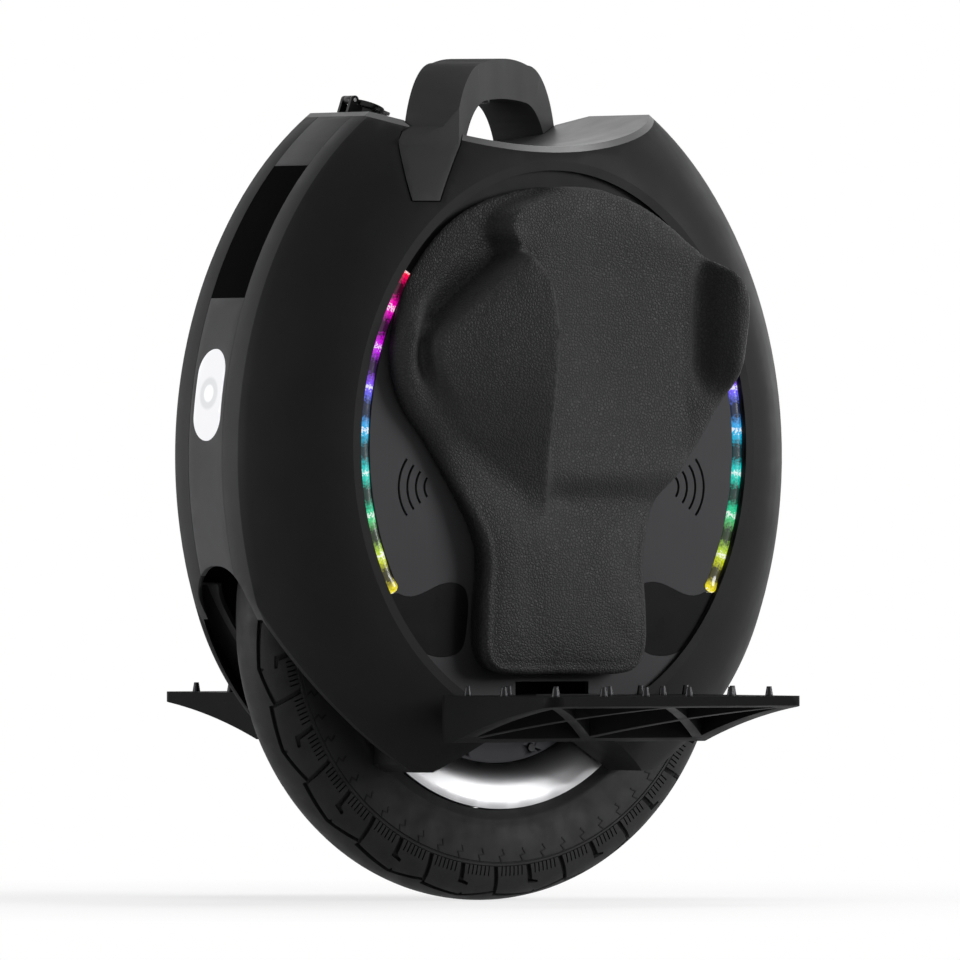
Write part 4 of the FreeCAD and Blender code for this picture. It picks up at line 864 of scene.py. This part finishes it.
def dress_pad(obj, before, moves):
    """Swells the fine cover as its coarse copy swelled, then presses in seams and small creases."""
    tree = point_tree(before) if before else None
    # Each point's height off the back, which the leather uses for its painted shade in the hollows.
    rise = obj.data.attributes.new("rise", "FLOAT", "POINT")
    for vert in obj.data.vertices:
        x, z = vert.co.x, vert.co.z
        rise.data[vert.index].value = vert.co.y - pad_back(x)
        normal = vert.normal.copy()
        if tree:
            near = tree.find_n(vert.co, 4)
            weights = [1 / (distance + 0.5 * MM) for spot, number, distance in near]
            total = sum(weights)
            for (spot, number, distance), weight in zip(near, weights):
                vert.co += moves[number] * weight / total
        if vert.co.y < pad_back(x) + PAD_EDGE:
            continue
        inset = pad_inset(x, z)
        low = smooth_step(268 * MM, 235 * MM, z)
        side = vert.co.y - pad_back(x)
        dent = 0.9 * low * smooth_step(0.3, 0.8, abs(normal.x)) * hill(side - 9 * MM, 1.3 * MM)
        dent += 0.9 * low * hill(inset - 6.5 * MM, 1.5 * MM)
        dent += 0.3 * noise.noise(Vector((x, 0, z)) / (24 * MM))
        vert.co -= normal * dent * MM


def leg_pads():
    """Both pads: one is shaped and filled, and the other is its mirror image."""
    before, moves = fill_moves(pad_blank())
    left = add_mesh("left_leg_pad_cover", pad_blank(), SLOTS["pad_leather"])
    remesh(left, PAD_VOXEL)
    smooth = left.modifiers.new("smooth", "SMOOTH")
    smooth.factor = 0.5
    smooth.iterations = 2
    with bpy.context.temp_override(active_object=left, object=left):
        bpy.ops.object.modifier_apply(modifier="smooth")
    dress_pad(left, before, moves)
    mesh = bmesh.new()
    mesh.from_mesh(left.data)
    bmesh.ops.scale(mesh, vec=(1, -1, 1), verts=mesh.verts[:])
    bmesh.ops.reverse_faces(mesh, faces=mesh.faces[:])
    right = add_mesh("right_leg_pad_cover", mesh, SLOTS["pad_leather"])
    for pad, node in ((left, "left_leg_pad"), (right, "right_leg_pad")):
        pad.data.shade_smooth()
        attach(pad, "chassis")
        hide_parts(node)


# Light strips: clear half-round tubes with a lamp at even steps, from red at the top to yellow at the foot

PANEL_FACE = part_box("left_panel_inserts")[1].y
STRIP_CENTRE = 292.0 * MM
STRIP_REACH = 143.1 * MM
STRIP_RISE = 172.6 * MM
STRIP_HALF = 3.9 * MM
STRIP_STAND = 0.6 * MM
STRIP_BED = 2.1 * MM
STRIP_TOP = 40.0
STRIP_END = -33.0
STRIP_LENGTH = 218 * MM
NOSE_LENGTH = 13 * MM
NOSE_HALF = 0.9 * MM
NOSE_STAND = 1.6 * MM
STRIP_LAMPS = 8
STRIP_STEPS = 160
STRIP_COLOURS = (
    (0.0, (1.0, 0.0, 0.02)), (0.125, (0.85, 0.0, 0.5)), (0.25, (0.6, 0.0, 0.8)), (0.375, (0.16, 0.07, 0.9)),
    (0.5, (0.0, 0.4, 0.75)), (0.625, (0.0, 0.6, 0.5)), (0.75, (0.0, 0.55, 0.22)), (0.875, (0.5, 0.65, 0.0)),
    (0.97, (0.85, 0.72, 0.0)),
)


def lamp_tube():
    """Clear tube over small lamps: dark between them, coloured round each one and pale at its core."""
    paint = Paint("lamp_tube", (0.02, 0.02, 0.022), 0.14, specular=0.3)
    along = paint.node("ShaderNodeAttribute", attribute_name="along").outputs["Fac"]
    hue = paint.ramp(along, STRIP_COLOURS)
    away = paint.node("ShaderNodeMath", operation="PINGPONG")
    paint.link(along, away.inputs[0])
    away.inputs[1].default_value = 0.5 / STRIP_LAMPS
    grain = paint.spread(paint.noise(1.4 * MM, 3.0), -0.012, 0.012)
    uneven = paint.node("ShaderNodeMath", operation="ADD")
    paint.link(away.outputs[0], uneven.inputs[0])
    paint.link(grain, uneven.inputs[1])
    near = uneven.outputs[0]
    end = paint.spread(along, 0.0, 0.6, 0.955, 0.975)
    glow = paint.node("ShaderNodeMath", operation="MAXIMUM")
    paint.link(paint.spread(near, 1.0, 0.05, 0.014, 0.046), glow.inputs[0])
    paint.link(end, glow.inputs[1])
    core = paint.spread(near, 0.7, 0.0, 0.001, 0.008)
    pale = paint.node("ShaderNodeMix", data_type="RGBA")
    paint.link(core, pale.inputs["Factor"])
    paint.link(hue, pale.inputs[6])
    pale.inputs[7].default_value = (1.0, 1.0, 1.0, 1.0)
    paint.link(pale.outputs[2], paint.shader.inputs["Emission Color"])
    paint.link(glow.outputs[0], paint.shader.inputs["Emission Strength"])
    paint.link(paint.spread(paint.noise(4 * MM), 0.1, 0.24), paint.shader.inputs["Roughness"])
    return paint.bump(paint.noise(2.0 * MM, 2.0), 0.05 * MM).material


def strip_place(degrees):
    """A place on the strip's middle line and the direction across it."""
    turn = math.radians(degrees)
    place = Vector((STRIP_REACH * math.cos(turn), 0, STRIP_CENTRE + STRIP_RISE * math.sin(turn)))
    across = Vector((place.x / STRIP_REACH ** 2, 0, (place.z - STRIP_CENTRE) / STRIP_RISE ** 2)).normalized()
    return place, across


def light_strip(name, material, front, left):
    """One strip: a half-round section swept along its arc, closed by a round nose at the foot."""
    mesh = bmesh.new()
    layer = mesh.verts.layers.float.new("along")
    rings = []
    sides = 14
    for step in range(STRIP_STEPS + 1):
        share = step / STRIP_STEPS
        place, across = strip_place(STRIP_TOP + (STRIP_END - STRIP_TOP) * share)
        left_over = (1 - share) * STRIP_LENGTH
        nose = smooth_step(NOSE_LENGTH, STRIP_HALF, left_over)
        half = STRIP_HALF + NOSE_HALF * nose
        stand = STRIP_STAND + NOSE_STAND * nose
        size = math.sqrt(max(1 - (1 - min(left_over / half, 1.0)) ** 2, 0.004))
        ring = []
        for side in range(sides + 1):
            turn = math.pi * side / sides
            rise = (stand + STRIP_BED) * size * math.sin(turn) ** 0.7
            spot = place + across * half * size * math.cos(turn)
            spot.y = PANEL_FACE - STRIP_BED + rise
            vert = mesh.verts.new((spot.x if front else -spot.x, spot.y if left else -spot.y, spot.z))
            vert[layer] = share
            ring.append(vert)
        rings.append(ring)
    for ring, after in zip(rings, rings[1:]):
        for side in range(sides):
            mesh.faces.new((ring[side], ring[side + 1], after[side + 1], after[side]))
        mesh.faces.new((ring[sides], ring[0], after[0], after[sides]))
    mesh.faces.new(rings[0])
    mesh.faces.new(rings[-1])
    bmesh.ops.recalc_face_normals(mesh, faces=mesh.faces[:])
    obj = add_mesh(name + "_tube", mesh, material)
    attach(obj, "chassis")
    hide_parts(name)


def light_strips():
    material = lamp_tube()
    for side, left in (("left", True), ("right", False)):
        for end, front in (("front", True), ("rear", False)):
            light_strip(f"{side}_{end}_light_strip", material, front, left)


# Floor, light and camera

FLOOR_REACH = 6.0
FLOOR_WHITE = (0.85, 0.85, 0.85)
WORLD_FILL = 0.2
LIGHT_AIM = (0, 0, 0.3)
LIGHTS = (  # name, place, size across, power
    ("key", (-1.9, 1.9, 1.05), 1.2, 92),
    ("rim", (-2.4, -0.9, 0.7), 1.0, 6),
    ("front", (2.4, -1.0, 0.5), 1.2, 50),
    ("top", (-0.5, -0.5, 2.4), 1.2, 18),
)
LENS_MM = 800.0
SENSOR_MM = 36.0
CAMERA_TURN = math.radians(33)
CAMERA_DISTANCE = 13.746
TARGET = Vector((0, 0, 0.2706))


SHADOW_SHARE = 0.7
SHADOW_REACH = 0.3


def floor():
    """A wide pale floor that reads as white and keeps a soft shadow."""
    mesh = bpy.data.meshes.new("floor")
    corners = [(x * FLOOR_REACH, y * FLOOR_REACH, 0) for x, y in ((-1, -1), (1, -1), (1, 1), (-1, 1))]
    mesh.from_pydata(corners, [], [(0, 1, 2, 3)])
    obj = bpy.data.objects.new("floor", mesh)
    bpy.context.scene.collection.objects.link(obj)
    paint = Paint("floor", FLOOR_WHITE, 0.7)
    paint.mottle(300 * MM, 0.01)
    tree = paint.tree
    path = paint.node("ShaderNodeLightPath")
    seen = paint.node("ShaderNodeMath", operation="MAXIMUM")
    paint.link(path.outputs["Is Camera Ray"], seen.inputs[0])
    paint.link(path.outputs["Is Glossy Ray"], seen.inputs[1])
    away = paint.node("ShaderNodeVectorMath", operation="LENGTH")
    paint.link(paint.place, away.inputs[0])
    near = paint.spread(away.outputs["Value"], SHADOW_SHARE, 1.0, SHADOW_REACH, 2.5 * SHADOW_REACH)
    share = paint.node("ShaderNodeMath", operation="MULTIPLY")
    paint.link(seen.outputs[0], share.inputs[0])
    paint.link(near, share.inputs[1])
    white = paint.node("ShaderNodeEmission", Strength=1.0)
    mix = paint.node("ShaderNodeMixShader")
    paint.link(share.outputs[0], mix.inputs["Fac"])
    paint.link(paint.shader.outputs["BSDF"], mix.inputs[1])
    paint.link(white.outputs[0], mix.inputs[2])
    paint.link(mix.outputs[0], tree.nodes["Material Output"].inputs["Surface"])
    mesh.materials.append(paint.material)


def world():
    """A white studio to the camera, and a soft grey fill light on the object."""
    made = bpy.data.worlds.new("studio")
    bpy.context.scene.world = made
    made.use_nodes = True
    tree = made.node_tree
    back = tree.nodes["Background"]
    back.inputs["Color"].default_value = (1, 1, 1, 1)
    path = tree.nodes.new("ShaderNodeLightPath")
    seen = tree.nodes.new("ShaderNodeMath")
    seen.operation = "MAXIMUM"
    level = tree.nodes.new("ShaderNodeMapRange")
    level.inputs["To Min"].default_value = WORLD_FILL
    level.inputs["To Max"].default_value = 1.0
    through_glass = tree.nodes.new("ShaderNodeMath")
    through_glass.operation = "MAXIMUM"
    tree.links.new(path.outputs["Is Camera Ray"], seen.inputs[0])
    tree.links.new(path.outputs["Is Glossy Ray"], seen.inputs[1])
    tree.links.new(seen.outputs[0], through_glass.inputs[0])
    tree.links.new(path.outputs["Is Transmission Ray"], through_glass.inputs[1])
    tree.links.new(through_glass.outputs[0], level.inputs["Value"])
    tree.links.new(level.outputs["Result"], back.inputs["Strength"])


def area_light(name, place, aim, size, power):
    """A square soft box at place that faces aim."""
    data = bpy.data.lights.new(name, "AREA")
    data.size = size
    data.energy = power
    lamp = bpy.data.objects.new(name, data)
    bpy.context.scene.collection.objects.link(lamp)
    lamp.location = place
    lamp.rotation_euler = (Vector(aim) - Vector(place)).to_track_quat("-Z", "Y").to_euler()


def camera():
    """A long lens level with the middle of the object, so that it looks nearly parallel."""
    data = bpy.data.cameras.new("camera")
    data.lens = LENS_MM
    data.sensor_width = SENSOR_MM
    data.clip_end = 100.0
    obj = bpy.data.objects.new("camera", data)
    bpy.context.scene.collection.objects.link(obj)
    toward = Vector((math.sin(CAMERA_TURN), math.cos(CAMERA_TURN), 0))
    obj.location = TARGET + CAMERA_DISTANCE * toward
    obj.rotation_euler = (-toward).to_track_quat("-Z", "Y").to_euler()
    bpy.context.scene.camera = obj


tyre()
leg_pads()
light_strips()
floor()
world()
for lamp_name, lamp_place, lamp_size, lamp_power in LIGHTS:
    area_light(lamp_name, lamp_place, LIGHT_AIM, lamp_size, lamp_power)
camera()
bpy.context.scene.view_settings.view_transform = "Standard"
